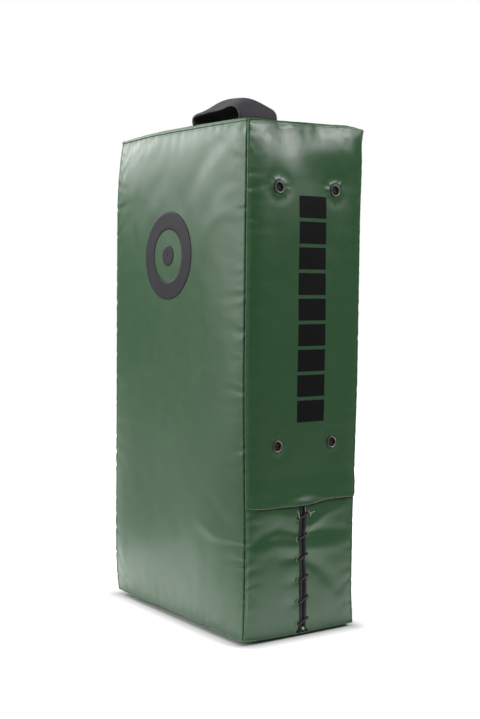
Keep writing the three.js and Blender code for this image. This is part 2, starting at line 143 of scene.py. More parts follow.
def crowned(p):
    """Moves points of the flat-sided box to where they end up once the pad is filled."""
    x, y, z = p[..., 0], p[..., 1], p[..., 2]
    across = x / HALF[0]
    through = y / HALF[1]
    up = (z - CENTRE[2]) / HALF[2]
    corner = CORNER_DRAW * np.minimum(1, np.abs(up)) ** 16
    low_share = np.interp(np.maximum(0, (z - SEAM_LIFT) / (2 * HALF[2])), *LACED_TABLE)
    laced = LACED_DRAW * low_share * np.maximum(0, across) ** 3
    end_crown = np.where(up > 0, TOP_CROWN, BASE_CROWN)
    return np.stack([
        x + across * (SIDE_CROWN * swell(through) * swell(up) - corner * through ** 2),
        y + through * (FACE_CROWN * swell(across) * swell(up) - corner * across ** 2 - laced),
        np.maximum(z + up * end_crown * swell(across) * swell(through), z - SEAM_LIFT),
    ], -1) + settled(p)


def rounded(p):
    """Rounds the box's edges."""
    inner = HALF - EDGE_RADIUS
    offset = p - CENTRE
    core = np.clip(offset, -inner, inner)
    out = offset - core
    beside = np.hypot(out[..., 0], out[..., 1])
    rise = out[..., 2]
    reach = np.where(rise > 0, np.hypot(beside, rise), np.maximum(beside, -rise))
    reach = np.maximum(reach, 1e-9)[..., None]
    return CENTRE + core + out / reach * EDGE_RADIUS


# Each face: its axis, its side, and the two directions along it
FACES = {
    "front": (1, -1, (1, 0, 0), (0, 0, 1)),
    "back": (1, 1, (-1, 0, 0), (0, 0, 1)),
    "laced": (0, 1, (0, 1, 0), (0, 0, 1)),
    "plain": (0, -1, (0, -1, 0), (0, 0, 1)),
    "top": (2, 1, (1, 0, 0), (0, 1, 0)),
    "base": (2, -1, (1, 0, 0), (0, -1, 0)),
}


def flat_place(face, u, v):
    """Points of a face of the flat-sided box."""
    axis, side, along_u, along_v = FACES[face]
    flat = u[..., None] * np.array(along_u, float) + v[..., None] * np.array(along_v, float)
    flat[..., axis] = CENTRE[axis] + side * HALF[axis]
    return flat


def face_axes(face):
    """The axes that a face's two directions follow."""
    return [int(np.argmax(np.abs(along))) for along in FACES[face][2:]]


SLOPE_STEP = 2e-4


def on_face(face, u, v, lift=0.0):
    """Points of a face: u and v run along it, and v is the height on an upright face."""
    def place(a, b):
        return crowned(rounded(flat_place(face, a, b)))

    slope_u = place(u + SLOPE_STEP, v) - place(u - SLOPE_STEP, v)
    slope_v = place(u, v + SLOPE_STEP) - place(u, v - SLOPE_STEP)
    return place(u, v) + unit(np.cross(slope_u, slope_v)) * np.asarray(lift)[..., None]


# Lines and uneven surfaces

def spaced(low, high, coarse, marks=()):
    """Grid lines from low to high, closer together round each (place, reach, step)."""
    lines = [low]
    while lines[-1] < high:
        here = lines[-1]
        step = coarse
        for place, reach, fine in marks:
            step = min(step, fine + 0.3 * max(0.0, abs(here - place) - reach))
        lines.append(here + step)
    lines = np.array(lines)
    return low + (lines - low) * (high - low) / (lines[-1] - low)


def waviness(u, v, seed, size, height):
    """Soft seeded unevenness of about the given size across the surface."""
    rng = np.random.default_rng(seed)
    total = np.zeros(np.broadcast(u, v).shape)
    for _ in range(14):
        turn = rng.uniform(0, math.pi)
        length = size * rng.uniform(0.7, 1.6)
        phase = rng.uniform(0, TAU)
        total += np.sin(TAU * (u * math.cos(turn) + v * math.sin(turn)) / length + phase)
    return total * height / math.sqrt(7)


def to_line(u, v, line):
    """Distance from points to a polyline, and how far along it they lie, from 0 to 1."""
    line = np.array(line, float)
    best = np.full(np.broadcast(u, v).shape, 1e9)
    share = np.zeros(best.shape)
    for i in range(len(line) - 1):
        start = line[i]
        run = line[i + 1] - start
        t = np.clip(((u - start[0]) * run[0] + (v - start[1]) * run[1]) / (run @ run), 0, 1)
        away = np.hypot(u - start[0] - t * run[0], v - start[1] - t * run[1])
        nearer = away < best
        share = np.where(nearer, (i + t) / (len(line) - 1), share)
        best = np.minimum(best, away)
    return best, share


def through_points(points, steps=16):
    """A centripetal Catmull-Rom curve through the points, as the CAD source draws its routes."""
    points = np.asarray(points, float)
    ends = 2 * points[:1] - points[1:2], 2 * points[-1:] - points[-2:-1]
    points = np.concatenate([ends[0], points, ends[1]])
    share = np.linspace(0, 1, steps, endpoint=False)[:, None]
    curve = []
    for a, b, c, d in zip(points, points[1:], points[2:], points[3:]):
        before, here, after = (math.sqrt(np.linalg.norm(run)) for run in (b - a, c - b, d - c))
        leave = ((b - a) / before - (c - a) / (before + here) + (c - b) / here) * here
        arrive = ((c - b) / here - (d - b) / (here + after) + (d - c) / after) * here
        curve.append(b + leave * share + (3 * c - 3 * b - 2 * leave - arrive) * share ** 2
                     + (2 * b - 2 * c + leave + arrive) * share ** 3)
    return np.concatenate([*curve, points[-2:-1]])


def travelled(path):
    """How far along a line each of its points lies."""
    return np.concatenate([[0], np.cumsum(np.linalg.norm(np.diff(path, axis=0), axis=1))])


def at_travel(wanted, travel, values):
    return np.stack([np.interp(wanted, travel, column) for column in values.T], -1)


def even_steps(path, step):
    """The same line with evenly spaced points."""
    travel = travelled(path)
    count = max(2, int(round(travel[-1] / step))) + 1
    return at_travel(np.linspace(0, travel[-1], count), travel, path)


# How far the lacing pulls the slot out of line at each height: across, and upward
LEAN_HEIGHTS = (0.015, 0.050, 0.084, 0.118, 0.150, 0.185)
LEAN_ACROSS = (0.0045, 0.0033, 0.0016, -0.0008, -0.0022, -0.0020)
LEAN_UP = (0.0010, 0.0024, 0.0022, 0.0018, -0.0006, -0.0022)
LEAN_REACH = (0.014, 0.085)


def lean(y, z):
    near = 1 - smooth(np.abs(y), *LEAN_REACH)
    up = smooth(z, 0.004, 0.014) * np.interp(z, LEAN_HEIGHTS, LEAN_UP)
    return y + near * np.interp(z, LEAN_HEIGHTS, LEAN_ACROSS), z + near * up


def hole_height(row, side):
    return LOWEST_HOLE + row * LACE_PITCH + (LACE_STAGGER if side > 0 else 0)


def leaning_hole(row, side):
    return lean(np.array(side * HOLE_OFFSET), np.array(hole_height(row, side)))


# Meshes

def add_object(name, data):
    thing = bpy.data.objects.new(name, data)
    bpy.context.scene.collection.objects.link(thing)
    return thing


def make_piece(name, points, faces, finish, uv=None, edge=None, body="pad", *, slot):
    """A smooth mesh piece; uv is per point, in metres, and edge marks where the seams are painted
    paler, for wear and as a painted highlight.
    """
    mesh = bpy.data.meshes.new(name)
    points = np.asarray(points, float).reshape(-1, 3)
    mesh.from_pydata(points.tolist(), [], faces)
    mesh.shade_smooth()
    if uv is not None:
        corners = np.zeros(len(mesh.loops), np.int32)
        mesh.loops.foreach_get("vertex_index", corners)
        layer = mesh.uv_layers.new(name="metres")
        layer.data.foreach_set("uv", np.asarray(uv, np.float32).reshape(-1, 2)[corners].ravel())
    if edge is not None:
        mark = mesh.attributes.new("worn_and_lit_edge", "FLOAT", "POINT")
        mark.data.foreach_set("value", np.asarray(edge, np.float32).ravel())
    mesh.materials.append(finish)
    piece = add_object(name, mesh)
    if body:
        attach(piece, body)
    return piece


def quads_of(index):
    """Faces between the rows and columns of a grid of point numbers."""
    return np.stack([
        index[:-1, :-1], index[:-1, 1:], index[1:, 1:], index[1:, :-1],
    ], -1).reshape(-1, 4)


def grid_quads(rows, columns):
    return quads_of(np.arange(rows * columns).reshape(rows, columns))


def ring_faces(rings, sides, outward=True):
    """Faces of a skin over rings of points, with both of its ends closed."""
    index = np.arange(rings * sides).reshape(rings, sides)
    turned = np.roll(index, -1, axis=1)
    corners = [index[:-1], turned[:-1], turned[1:], index[1:]]
    ends = [index[0][::-1].tolist(), index[-1].tolist()]
    if not outward:
        corners = corners[:1] + corners[:0:-1]
        ends = [end[::-1] for end in ends]
    return np.stack(corners, -1).reshape(-1, 4).tolist() + ends


def thicken(piece, thickness, offset=-1.0):
    layer = piece.modifiers.new("thickness", "SOLIDIFY")
    layer.thickness = thickness
    layer.offset = offset


def weld(piece, distance):
    work = bmesh.new()
    work.from_mesh(piece.data)
    bmesh.ops.remove_doubles(work, verts=work.verts, dist=distance)
    work.to_mesh(piece.data)
    work.free()


def turns(sides):
    return np.arange(sides) * TAU / sides


def spokes(angle, first, second):
    """Directions all round, between the two given ones."""
    return np.cos(angle)[:, None] * first + np.sin(angle)[:, None] * second


def tube(path, radius, sides):
    """Points and faces of a tube; radius may be a number or one per ring and side."""
    path = np.asarray(path, float)
    ahead = unit(np.gradient(path, axis=0))
    side = np.cross(ahead[0], (0.31, 0.17, 0.93))
    first = []
    for direction in ahead:
        side = unit(side - direction * (side @ direction))
        first.append(side)
    first = np.array(first)
    ring = spokes(turns(sides), first[:, None], np.cross(ahead, first)[:, None])
    reach = np.broadcast_to(np.asarray(radius, float), (len(path), sides))[..., None]
    points = (path[:, None, :] + reach * ring).reshape(-1, 3)
    return points, ring_faces(len(path), sides)


def join_parts(parts):
    """One list of points and one of faces from several."""
    points = []
    faces = []
    count = 0
    for part_points, part_faces in parts:
        points.append(np.asarray(part_points, float).reshape(-1, 3))
        faces += [[i + count for i in face] for face in part_faces]
        count += len(points[-1])
    return np.concatenate(points), faces


# Materials

class Nodes:
    """A node tree with short calls for the nodes that the finishes use."""

    def __init__(self, owner):
        owner.use_nodes = True
        self.tree = owner.node_tree
        self.shader = self.tree.nodes.get("Principled BSDF")

    def add(self, kind, settings=None, inputs=None):
        node = self.tree.nodes.new(kind)
        for key, value in (settings or {}).items():
            setattr(node, key, value)
        for key, value in (inputs or {}).items():
            self.put(node.inputs[key], value)
        return node

    def put(self, socket, value):
        if isinstance(value, bpy.types.NodeSocket):
            self.tree.links.new(value, socket)
        else:
            socket.default_value = value

    def shade(self, inputs):
        for key, value in inputs.items():
            self.put(self.shader.inputs[key], value)

    def math(self, operation, *values):
        node = self.add("ShaderNodeMath", {"operation": operation})
        for i, value in enumerate(values):
            self.put(node.inputs[i], value)
        return node.outputs[0]

    def noise(self, place, scale, detail=3.0, roughness=0.5):
        node = self.add("ShaderNodeTexNoise", {}, {
            "Vector": place, "Scale": scale, "Detail": detail, "Roughness": roughness,
        })
        return node.outputs["Fac"]

    def span(self, value, low, high, to_low, to_high):
        node = self.add("ShaderNodeMapRange", {}, {
            "Value": value, "From Min": low, "From Max": high,
            "To Min": to_low, "To Max": to_high,
        })
        return node.outputs["Result"]

    def mix(self, share, first, second):
        node = self.add("ShaderNodeMix", {"data_type": "RGBA"},
                        {"Factor": share, "A": first, "B": second})
        return node.outputs["Result"]

    def bumps(self, height, strength, distance):
        node = self.add("ShaderNodeBump", {}, {
            "Height": height, "Strength": strength, "Distance": distance,
        })
        self.shade({"Normal": node.outputs["Normal"]})

    def place(self):
        return self.add("ShaderNodeTexCoord").outputs["Object"]

    def uv(self):
        place = self.add("ShaderNodeUVMap", {"uv_map": "metres"}).outputs["UV"]
        parts = self.add("ShaderNodeSeparateXYZ", {}, {"Vector": place})
        return place, parts.outputs["X"], parts.outputs["Y"]


def colour(r, g, b):
    """Linear colour with full opacity."""
    return (r, g, b, 1.0)


def grey(level):
    return colour(level, level, level)


def paler(deep, gain, more):
    return colour(*(min(1.0, c * gain + more) for c in deep[:3]))


def wave(nodes, along, pitch):
    return nodes.math("SINE", nodes.math("MULTIPLY", along, TAU / pitch))


def weave_height(nodes, u, v, pitch):
    """Height of a plain weave: threads that cross, over and under by turns."""
    return nodes.math("MULTIPLY", wave(nodes, u, pitch), wave(nodes, v, pitch))


def vinyl(name, deep):
    """Coated cover cloth: green vinyl over a fine weave, paler along the seams from wear and as a
    painted highlight on the rounded edges.
    """
    material = bpy.data.materials.new(name)
    nodes = Nodes(material)
    place, u, v = nodes.uv()
    weave = weave_height(nodes, u, v, 0.0016)
    grain = nodes.noise(place, 900.0, 2.0)
    patches = nodes.noise(place, 7.0, 4.0, 0.6)
    scuffs = nodes.noise(place, 60.0, 6.0, 0.7)
    worn_and_lit = nodes.add("ShaderNodeAttribute", {"attribute_name": "worn_and_lit_edge"}).outputs["Fac"]
    body = nodes.mix(nodes.span(patches, 0.3, 0.7, 0.0, 0.35), deep, paler(deep, 1.3, 0.001))
    # Paler near the seams: wear, and a painted highlight where the rounded edges would catch the
    # light.
    rubbed = nodes.math("MULTIPLY", worn_and_lit, nodes.span(scuffs, 0.35, 0.75, 0.15, 0.9))
    nodes.shade({
        "Base Color": nodes.mix(rubbed, body, paler(deep, 2.4, 0.012)),
        "Roughness": nodes.span(scuffs, 0.2, 0.8, 0.29, 0.41),
        "Specular IOR Level": 0.65,
    })
    height = nodes.math("ADD", nodes.math("MULTIPLY", weave, 0.5), grain)
    nodes.bumps(height, 0.22, 0.0002)
    return material


def webbing(name, deep, pitch, ribs):
    """Black synthetic webbing with a ribbed weave and a soft sheen."""
    material = bpy.data.materials.new(name)
    nodes = Nodes(material)
    place, u, v = nodes.uv()
    weave = weave_height(nodes, u, v, pitch)
    rib = wave(nodes, v, 2.5 * pitch)
    fuzz = nodes.noise(place, 1500.0, 4.0, 0.7)
    patches = nodes.noise(place, 30.0, 4.0, 0.6)
    light = nodes.math("MULTIPLY", fuzz, 0.6)
    light = nodes.math("ADD", light, nodes.math("MULTIPLY", patches, 0.5))
    nodes.shade({
        "Base Color": nodes.mix(nodes.span(light, 0.35, 0.8, 0, 1), deep, paler(deep, 1.6, 0.004)),
        "Roughness": nodes.span(fuzz, 0.2, 0.8, 0.6, 0.85),
        "Sheen Weight": 0.15,
        "Sheen Roughness": 0.5,
        "Specular IOR Level": 0.35,
    })
    height = nodes.math("ADD", weave, nodes.math("MULTIPLY", rib, ribs))
    nodes.bumps(nodes.math("ADD", height, nodes.math("MULTIPLY", fuzz, 0.8)), 0.45, 0.0003)
    return material


def plain_finish(name, deep, pale, rough, scale, strength, metal=0.0, sheen=0.0, specular=0.5):
    """A finish with two mottled tones, for print, thread, cord and metal."""
    material = bpy.data.materials.new(name)
    nodes = Nodes(material)
    place = nodes.place()
    spots = nodes.noise(place, scale, 5.0, 0.65)
    fine = nodes.noise(place, scale * 6, 2.0)
    share = nodes.span(spots, 0.35, 0.7, 0, 1)
    nodes.shade({
        "Base Color": nodes.mix(share, colour(*deep), colour(*pale)),
        "Roughness": nodes.span(fine, 0.2, 0.8, rough - 0.08, rough + 0.1),
        "Metallic": metal,
        "Sheen Weight": sheen,
        "Specular IOR Level": specular,
    })
    nodes.bumps(nodes.math("ADD", spots, fine), strength, 0.0003)
    return material


def foam_finish(name, deep, pale):
    """Cut foam: open cells and a little unevenness of colour."""
    material = bpy.data.materials.new(name)
    nodes = Nodes(material)
    place = nodes.place()
    cells = nodes.add("ShaderNodeTexVoronoi", {}, {"Vector": place, "Scale": 700.0})
    cells = cells.outputs["Distance"]
    cloud = nodes.span(nodes.noise(place, 25.0, 4.0), 0.3, 0.7, 0, 1)
    nodes.shade({
        "Base Color": nodes.mix(cloud, colour(*deep), colour(*pale)),
        "Roughness": nodes.span(cells, 0.0, 0.6, 0.85, 1.0),
    })
    nodes.bumps(cells, 0.5, 0.0006)
    return material


def rim_finish(name):
    """Eyelet metal: dark paint outside, rubbed to bare metal on the inner curl."""
    material = bpy.data.materials.new(name)
    nodes = Nodes(material)
    inward = nodes.uv()[2]
    spots = nodes.noise(nodes.place(), 700.0, 5.0, 0.7)
    rubbed = nodes.math("ADD", inward, nodes.math("MULTIPLY", spots, 0.35))
    bare = nodes.span(rubbed, 0.66, 0.95, 0.0, 1.0)
    nodes.shade({
        "Base Color": nodes.mix(bare, colour(0.030, 0.036, 0.028), colour(0.36, 0.36, 0.29)),
        "Roughness": nodes.span(spots, 0.3, 0.7, 0.30, 0.55),
        "Metallic": nodes.span(bare, 0.0, 1.0, 0.35, 0.85),
    })
    nodes.bumps(spots, 0.3, 0.0002)
    return material


cover_green = vinyl("cover_vinyl_green", colour(0.0194, 0.0800, 0.0242))
binding_black = webbing("binding_black", colour(0.011, 0.010, 0.012), 0.0012, 0.8)
strap_black = webbing("strap_webbing_black", colour(0.044, 0.040, 0.048), 0.0017, 0.6)
rim_metal = rim_finish("vent_rim_metal")
firm_foam = foam_finish("firm_foam_grey", (0.24, 0.25, 0.26), (0.32, 0.33, 0.34))
soft_foam = foam_finish("soft_foam_cream", (0.62, 0.60, 0.50), (0.74, 0.72, 0.62))

# Deep and pale tone, roughness, size of the mottling and its height
front_ink = plain_finish("cover_print_violet", (0.018, 0.016, 0.021), (0.027, 0.024, 0.030),
                         0.55, 300.0, 0.15, specular=0.2)
# Black print ink; the painted shadow strip under the hem uses it too.
print_and_shadow_black = plain_finish("cover_print_and_shadow_black", (0.0035, 0.0035, 0.004), (0.007, 0.007, 0.008),
                         0.6, 300.0, 0.15, specular=0.12)
lace_black = plain_finish("lace_black", (0.007, 0.007, 0.008), (0.022, 0.021, 0.024),
                          0.6, 900.0, 0.4, sheen=0.1)
thread_dark = plain_finish("thread_dark", (0.006, 0.012, 0.007), (0.016, 0.028, 0.018),
                           0.6, 1500.0, 0.3)
thread_and_shade_black = plain_finish("thread_and_shade_black", (0.006, 0.006, 0.007), (0.020, 0.020, 0.022),
                            0.6, 1500.0, 0.3, specular=0.2)
frayed_pale = plain_finish("frayed_pale", (0.42, 0.45, 0.42), (0.80, 0.82, 0.80),
                           0.8, 900.0, 0.3)
cut_pale = plain_finish("cut_pale", (0.10, 0.15, 0.10), (0.26, 0.32, 0.25), 0.6, 1200.0, 0.3)
punched_pale = plain_finish("punched_pale", (0.22, 0.27, 0.18), (0.52, 0.56, 0.44),
                            0.7, 1200.0, 0.4)
screen_dark = plain_finish("screen_dark", (0.030, 0.028, 0.034), (0.085, 0.080, 0.094),
                           0.5, 1500.0, 0.3)
washer_metal = plain_finish("washer_metal", (0.20, 0.20, 0.17), (0.34, 0.34, 0.29),
                            0.4, 500.0, 0.2, metal=0.8)


# Camera, at the photograph's place

CAMERA_PLACE = (1.5667, -1.0901, 0.5203)
CAMERA_TURN = (54.781, -3.712, 0.631)
CAMERA_LENS = 61.204


def make_camera():
    yaw, pitch, roll = (math.radians(a) for a in CAMERA_TURN)
    level_share = math.cos(pitch)
    ahead = Vector((-math.sin(yaw) * level_share, math.cos(yaw) * level_share, math.sin(pitch)))
    level = Vector((math.cos(yaw), math.sin(yaw), 0.0))
    upright = level.cross(ahead)
    right = math.cos(roll) * level + math.sin(roll) * upright
    up = math.cos(roll) * upright - math.sin(roll) * level
    data = bpy.data.cameras.new("camera")
    data.lens = CAMERA_LENS
    data.sensor_width = 36.0
    data.clip_end = 50.0
    camera = add_object("camera", data)
    turn = Matrix((right, up, -ahead)).transposed().to_4x4()
    camera.matrix_world = Matrix.Translation(CAMERA_PLACE) @ turn
    bpy.context.scene.camera = camera


make_camera()


# Cloth: the sewn cover is cut a little larger than the block that fills it

BAG_CELLS = (45, 26, 92)
BAG_SLACK = 0.010
BAG_FRAMES = 20
BAG_CLOTH = {
    "quality": 5, "mass": 0.4, "tension_stiffness": 18, "compression_stiffness": 18,
    "shear_stiffness": 8, "bending_stiffness": 0.4, "use_pressure": True,
    "uniform_pressure_force": 4.0, "shrink_min": -BAG_SLACK, "vertex_group_mass": "seams",
}
CREASE_SHARE = 0.36
CREASE_REACH = 0.030
DEEPEST_CREASE = 0.0025


def bag_lines(axis):
    low = CENTRE[axis] - HALF[axis]
    return np.linspace(low, low + 2 * HALF[axis], BAG_CELLS[axis] + 1)


def face_grid(face):
    """The lines of one face of the bag, and its points on the flat-sided box."""
    u_lines, v_lines = (np.sort(bag_lines(axis) * along[axis])
                        for axis, along in zip(face_axes(face), FACES[face][2:]))
    return u_lines, v_lines, flat_place(face, *np.meshgrid(u_lines, v_lines))


def softened(field, steps):
    """Blurs a field that is held at zero round its edge."""
    reach = 3 * steps
    weights = np.exp(-(np.arange(-reach, reach + 1) / steps) ** 2 / 2)
    weights /= weights.sum()
    for _ in range(2):
        wide = np.pad(field, ((reach, reach), (0, 0)), "reflect", reflect_type="odd")
        field = np.array([np.convolve(column, weights, "valid") for column in wide.T])
    return field


def blown_up(points, quads):
    """Where the points of the bag end up when it is blown up as cloth."""
    mesh = bpy.data.meshes.new("bag")
    mesh.from_pydata(points.tolist(), [], quads)
    bag = add_object("bag", mesh)
    on_plane = np.abs(np.abs(points - CENTRE) - HALF) < 1e-6
    seams = bag.vertex_groups.new(name="seams")
    seams.add(np.nonzero(on_plane.sum(1) > 1)[0].tolist(), 1.0, "REPLACE")
    cloth = bag.modifiers.new("cloth", "CLOTH")
    for setting, value in BAG_CLOTH.items():
        setattr(cloth.settings, setting, value)
    cloth.settings.effector_weights.gravity = 0.0
    cloth.collision_settings.use_collision = False
    cloth.point_cache.frame_start = 1
    cloth.point_cache.frame_end = BAG_FRAMES
    for step in range(1, BAG_FRAMES + 1):
        bpy.context.scene.frame_set(step)
    shaped = bag.evaluated_get(bpy.context.evaluated_depsgraph_get()).to_mesh()
    blown = np.zeros(len(points) * 3, np.float32)
    shaped.vertices.foreach_get("co", blown)
    bpy.context.scene.frame_set(1)
    bpy.data.objects.remove(bag)
    return blown.reshape(-1, 3)


def simulated_creases():
    """Blows up the sewn bag and keeps, for each face, the creases along its seams."""
    index, points, quads, grids = {}, [], [], {}
    for face in FACES:
        u_lines, v_lines, flat = face_grid(face)
        ids = np.zeros(flat.shape[:2], int)
        for place in np.ndindex(*ids.shape):
            key = tuple(np.round(flat[place], 5))
            if key not in index:
                index[key] = len(points)
                points.append(flat[place])
            ids[place] = index[key]
        grids[face] = (u_lines, v_lines, flat, ids)
        quads += quads_of(ids).tolist()
    blown = blown_up(np.array(points), quads)
    creases = {}
    for face, (u_lines, v_lines, flat, ids) in grids.items():
        axis, side = FACES[face][:2]
        out = (blown[ids] - flat)[..., axis] * side
        field = np.clip(out - softened(out, 4), -DEEPEST_CREASE, DEEPEST_CREASE)
        creases[face] = (u_lines, v_lines, field)
    return creases


def weighed(lines, places):
    """The four lines round each place, with their weights for a smooth curve."""
    step = lines[1] - lines[0]
    at = np.clip((places - lines[0]) / step, 0, len(lines) - 1.001)
    cell = at.astype(int)
    t = at - cell
    weights = (-0.5 * t + t ** 2 - 0.5 * t ** 3, 1 - 2.5 * t ** 2 + 1.5 * t ** 3,
               0.5 * t + 2 * t ** 2 - 1.5 * t ** 3, -0.5 * t ** 2 + 0.5 * t ** 3)
    return [(np.clip(cell + k - 1, 0, len(lines) - 1), weights[k]) for k in range(4)]


def creased(face, u, v):
    """The simulated creases of a face, which the foam presses out away from the seams."""
    if face not in CREASES:
        return 0.0
    u_lines, v_lines, field = CREASES[face]
    total = np.zeros(u.shape)
    for row, row_weight in weighed(v_lines, v):
        for column, column_weight in weighed(u_lines, u):
            total += row_weight * column_weight * field[row, column]
    inward = np.minimum.reduce([u - u_lines[0], u_lines[-1] - u, v - v_lines[0], v_lines[-1] - v])
    share = CREASE_SHARE * np.exp(-np.maximum(0, inward) / CREASE_REACH)
    share = share * smooth(inward, 0.003, 0.012)
    if face == "laced":
        share = share * smooth(np.abs(v - HEM_HEIGHT), 0.004, 0.02)
    return total * share


CREASES = simulated_creases()


# Relief of the cover: seams, puckers, folds

GROOVE_DEPTH = 0.0008
GROOVE_WIDTH = 0.0009


def seam_strip(d, groove, roll, dip, dip_width=0.006):
    """Profile across a seam: rolled edge, stitched groove, and the hollow behind it."""
    rolled = roll * bump(d - 0.55 * groove, 0.42 * groove)
    stitched = -GROOVE_DEPTH * bump(d - groove, GROOVE_WIDTH)
    hollow = -dip * smooth(d, groove, groove + 0.003) * bump(
        np.maximum(0, d - groove - 0.004), dip_width * 1.6)
    return (rolled + stitched + hollow) * smooth(d, 0, 0.0012)


def puckers(d, s, places, seed, reach, depth, width=0.0026):
    """Short creases that run in from a seam; s is the place along it."""
    rng = np.random.default_rng(seed)
    total = np.zeros(np.broadcast(d, s).shape)
    for place in places:
        long = reach * rng.uniform(0.6, 1.5)
        deep = depth * rng.uniform(0.6, 1.4)
        slant = rng.uniform(-0.5, 0.5)
        wide = width * rng.uniform(0.8, 1.4)
        fade = np.exp(-np.maximum(0, d - 0.002) / long) * smooth(d, 0, 0.002)
        off = s - place - slant * d
        open_out = wide * (1 + d / (2.5 * long))
        beside, broad = 2.2 * open_out, 1.3 * open_out
        total += deep * fade * (0.55 * bump(off - beside, broad) - bump(off, open_out)
                                + 0.45 * bump(off + beside, broad))
    return total


def scattered(low, high, spacing, seed):
    rng = np.random.default_rng(seed)
    places = []
    here = low + spacing * rng.uniform(0.2, 0.9)
    while here < high:
        places.append(here)
        here += spacing * rng.uniform(0.55, 1.5)
    return places


def random_puckers(d, s, span, spacing, seed, reach, depth, width=0.0026):
    places = scattered(*span, spacing, seed)
    return puckers(d, s, places, seed + 2, reach, depth, width)


# Places of puckers: upright seams, then the seams across the wide and the narrow faces
UPRIGHT = (0.02, 0.73)
WIDE = (-0.17, 0.17)
NARROW = (-0.09, 0.09)
NEAR_PUCKERS = [0.685, 0.619, 0.499, 0.447, 0.362, 0.282, 0.144, 0.123]

# Soft creases of the front, mostly from its near corners: line, height, width
FRONT_FOLDS = [
    ([(0.168, 0.722), (0.120, 0.690), (0.060, 0.640)], 0.0007, 0.015),
    ([(0.150, 0.735), (0.090, 0.700), (0.030, 0.610)], -0.0006, 0.016),
    ([(0.172, 0.660), (0.130, 0.655), (0.070, 0.600)], -0.0006, 0.011),
    ([(0.174, 0.624), (0.130, 0.612), (0.090, 0.590)], 0.0008, 0.010),
    ([(0.100, 0.215), (0.135, 0.180), (0.165, 0.150)], -0.0009, 0.013),
    ([(0.173, 0.150), (0.120, 0.152), (0.070, 0.170)], 0.0012, 0.008),
]


def front_relief(u, v):
    right = HALF[0] - u
    left = u + HALF[0]
    top = TOP_SEAM - v
    low = v - SEAM_LIFT
    lift = seam_strip(right, CORNER_GROOVE, 0.0002, 0.0003, 0.004)
    lift += seam_strip(left, GROOVE, 0.0005, 0.0004)
    lift += seam_strip(top, FRONT_TOP_GROOVE, 0.0007, 0.0006)
    lift += seam_strip(low, CORNER_GROOVE, 0.0001, 0.0002)
    lift += puckers(right, v, NEAR_PUCKERS, 3, 0.018, 0.0011)
    for line, height, width in FRONT_FOLDS:
        away, share = to_line(u, v, line)
        fade = np.sin(math.pi * (0.1 + 0.85 * share))
        lift += height * bump(away, width * (0.7 + 0.6 * share)) * fade
    lift += random_puckers(right, v, UPRIGHT, 0.022, 5, 0.009, 0.0004, 0.0018)
    lift += random_puckers(left, v, UPRIGHT, 0.038, 11, 0.014, 0.0006)
    lift += random_puckers(top, u, WIDE, 0.030, 17, 0.012, 0.0005)
    lift += puckers(low, u, scattered(*WIDE, 0.040, 23), 29, 0.012, 0.0004)
    inside = smooth(np.minimum.reduce([right, left, top, low]), 0.004, 0.04)
    lift += inside * waviness(u, v, 31, 0.16, 0.00055)
    lift += inside * waviness(u, v, 37, 0.05, 0.00010)
    return lift - 0.0016 * bump(np.hypot(u - 0.170, v - 0.730), 0.007)


def top_fullness(u, top):
    """The foam fills the side's top, and more so away from the striking face."""
    nearer = smooth(-u, -0.06, 0.07)
    full = 0.0054 - 0.0034 * nearer
    rise = 1 - np.exp(-np.maximum(0, top) / (0.020 + 0.020 * nearer))
    across = (1 - np.abs(u / HALF[1]) ** 6) * (1 - smooth(-u, 0.06, 0.10))
    return full * rise * smooth(0.086 - top, 0, 0.056) * across


def side_relief(u, v, seed=41):
    near = u + HALF[1]
    far = HALF[1] - u
    top = TOP_SEAM - v
    low = v - SEAM_LIFT
    near_dip = 0.008 + 0.008 * smooth(v, 0.62, 0.74)
    lift = seam_strip(near, SIDE_GROOVE, 0.0018, 0.0018, near_dip)
    lift += seam_strip(far, GROOVE, 0.0006, 0.0005)
    lift += seam_strip(top, SIDE_TOP_GROOVE, 0.0003, 0.0006, 0.004)
    lift += seam_strip(low, GROOVE, 0.0004, 0.0003)
    lift += top_fullness(u, top)
    lift += random_puckers(near, v, UPRIGHT, 0.030, seed, 0.013, 0.0006)
    lift += random_puckers(far, v, UPRIGHT, 0.034, seed + 4, 0.012, 0.0005)
    lift += random_puckers(top, u, NARROW, 0.028, seed + 8, 0.010, 0.0003)
    inside = smooth(np.minimum.reduce([near, far, top, low]), 0.004, 0.035)
    lift += inside * waviness(u, v, seed + 12, 0.11, 0.0005)
    return lift + inside * waviness(u, v, seed + 14, 0.04, 0.0001)


def plain_relief(u, v):
    return side_relief(u, v, 141)


def vent_relief(u, v):
    """The vinyl is drawn flat under each rim and puckers round it."""
    lift = np.zeros(np.broadcast(u, v).shape)
    for i, (place_u, place_v) in enumerate(VENTS.values()):
        away = np.hypot(u - place_u, v - place_v)
        turn = np.arctan2(v - place_v, u - place_u)
        rng = np.random.default_rng(61 + i)
        ripple = sum(rng.uniform(0.5, 1.0) * np.cos(k * turn + rng.uniform(0, TAU))
                     for k in (3, 5, 8, 11))
        ring = smooth(away, VENT_FLANGE, VENT_FLANGE + 0.003)
        ring = ring * bump(np.maximum(0, away - VENT_FLANGE - 0.002), 0.008)
        lift += ring * (0.00013 * ripple + 0.0004)
        lift -= 0.0010 * smooth(away, VENT_FLANGE, VENT_FLANGE + 0.004) * bump(away - 0.017, 0.008)
    return lift


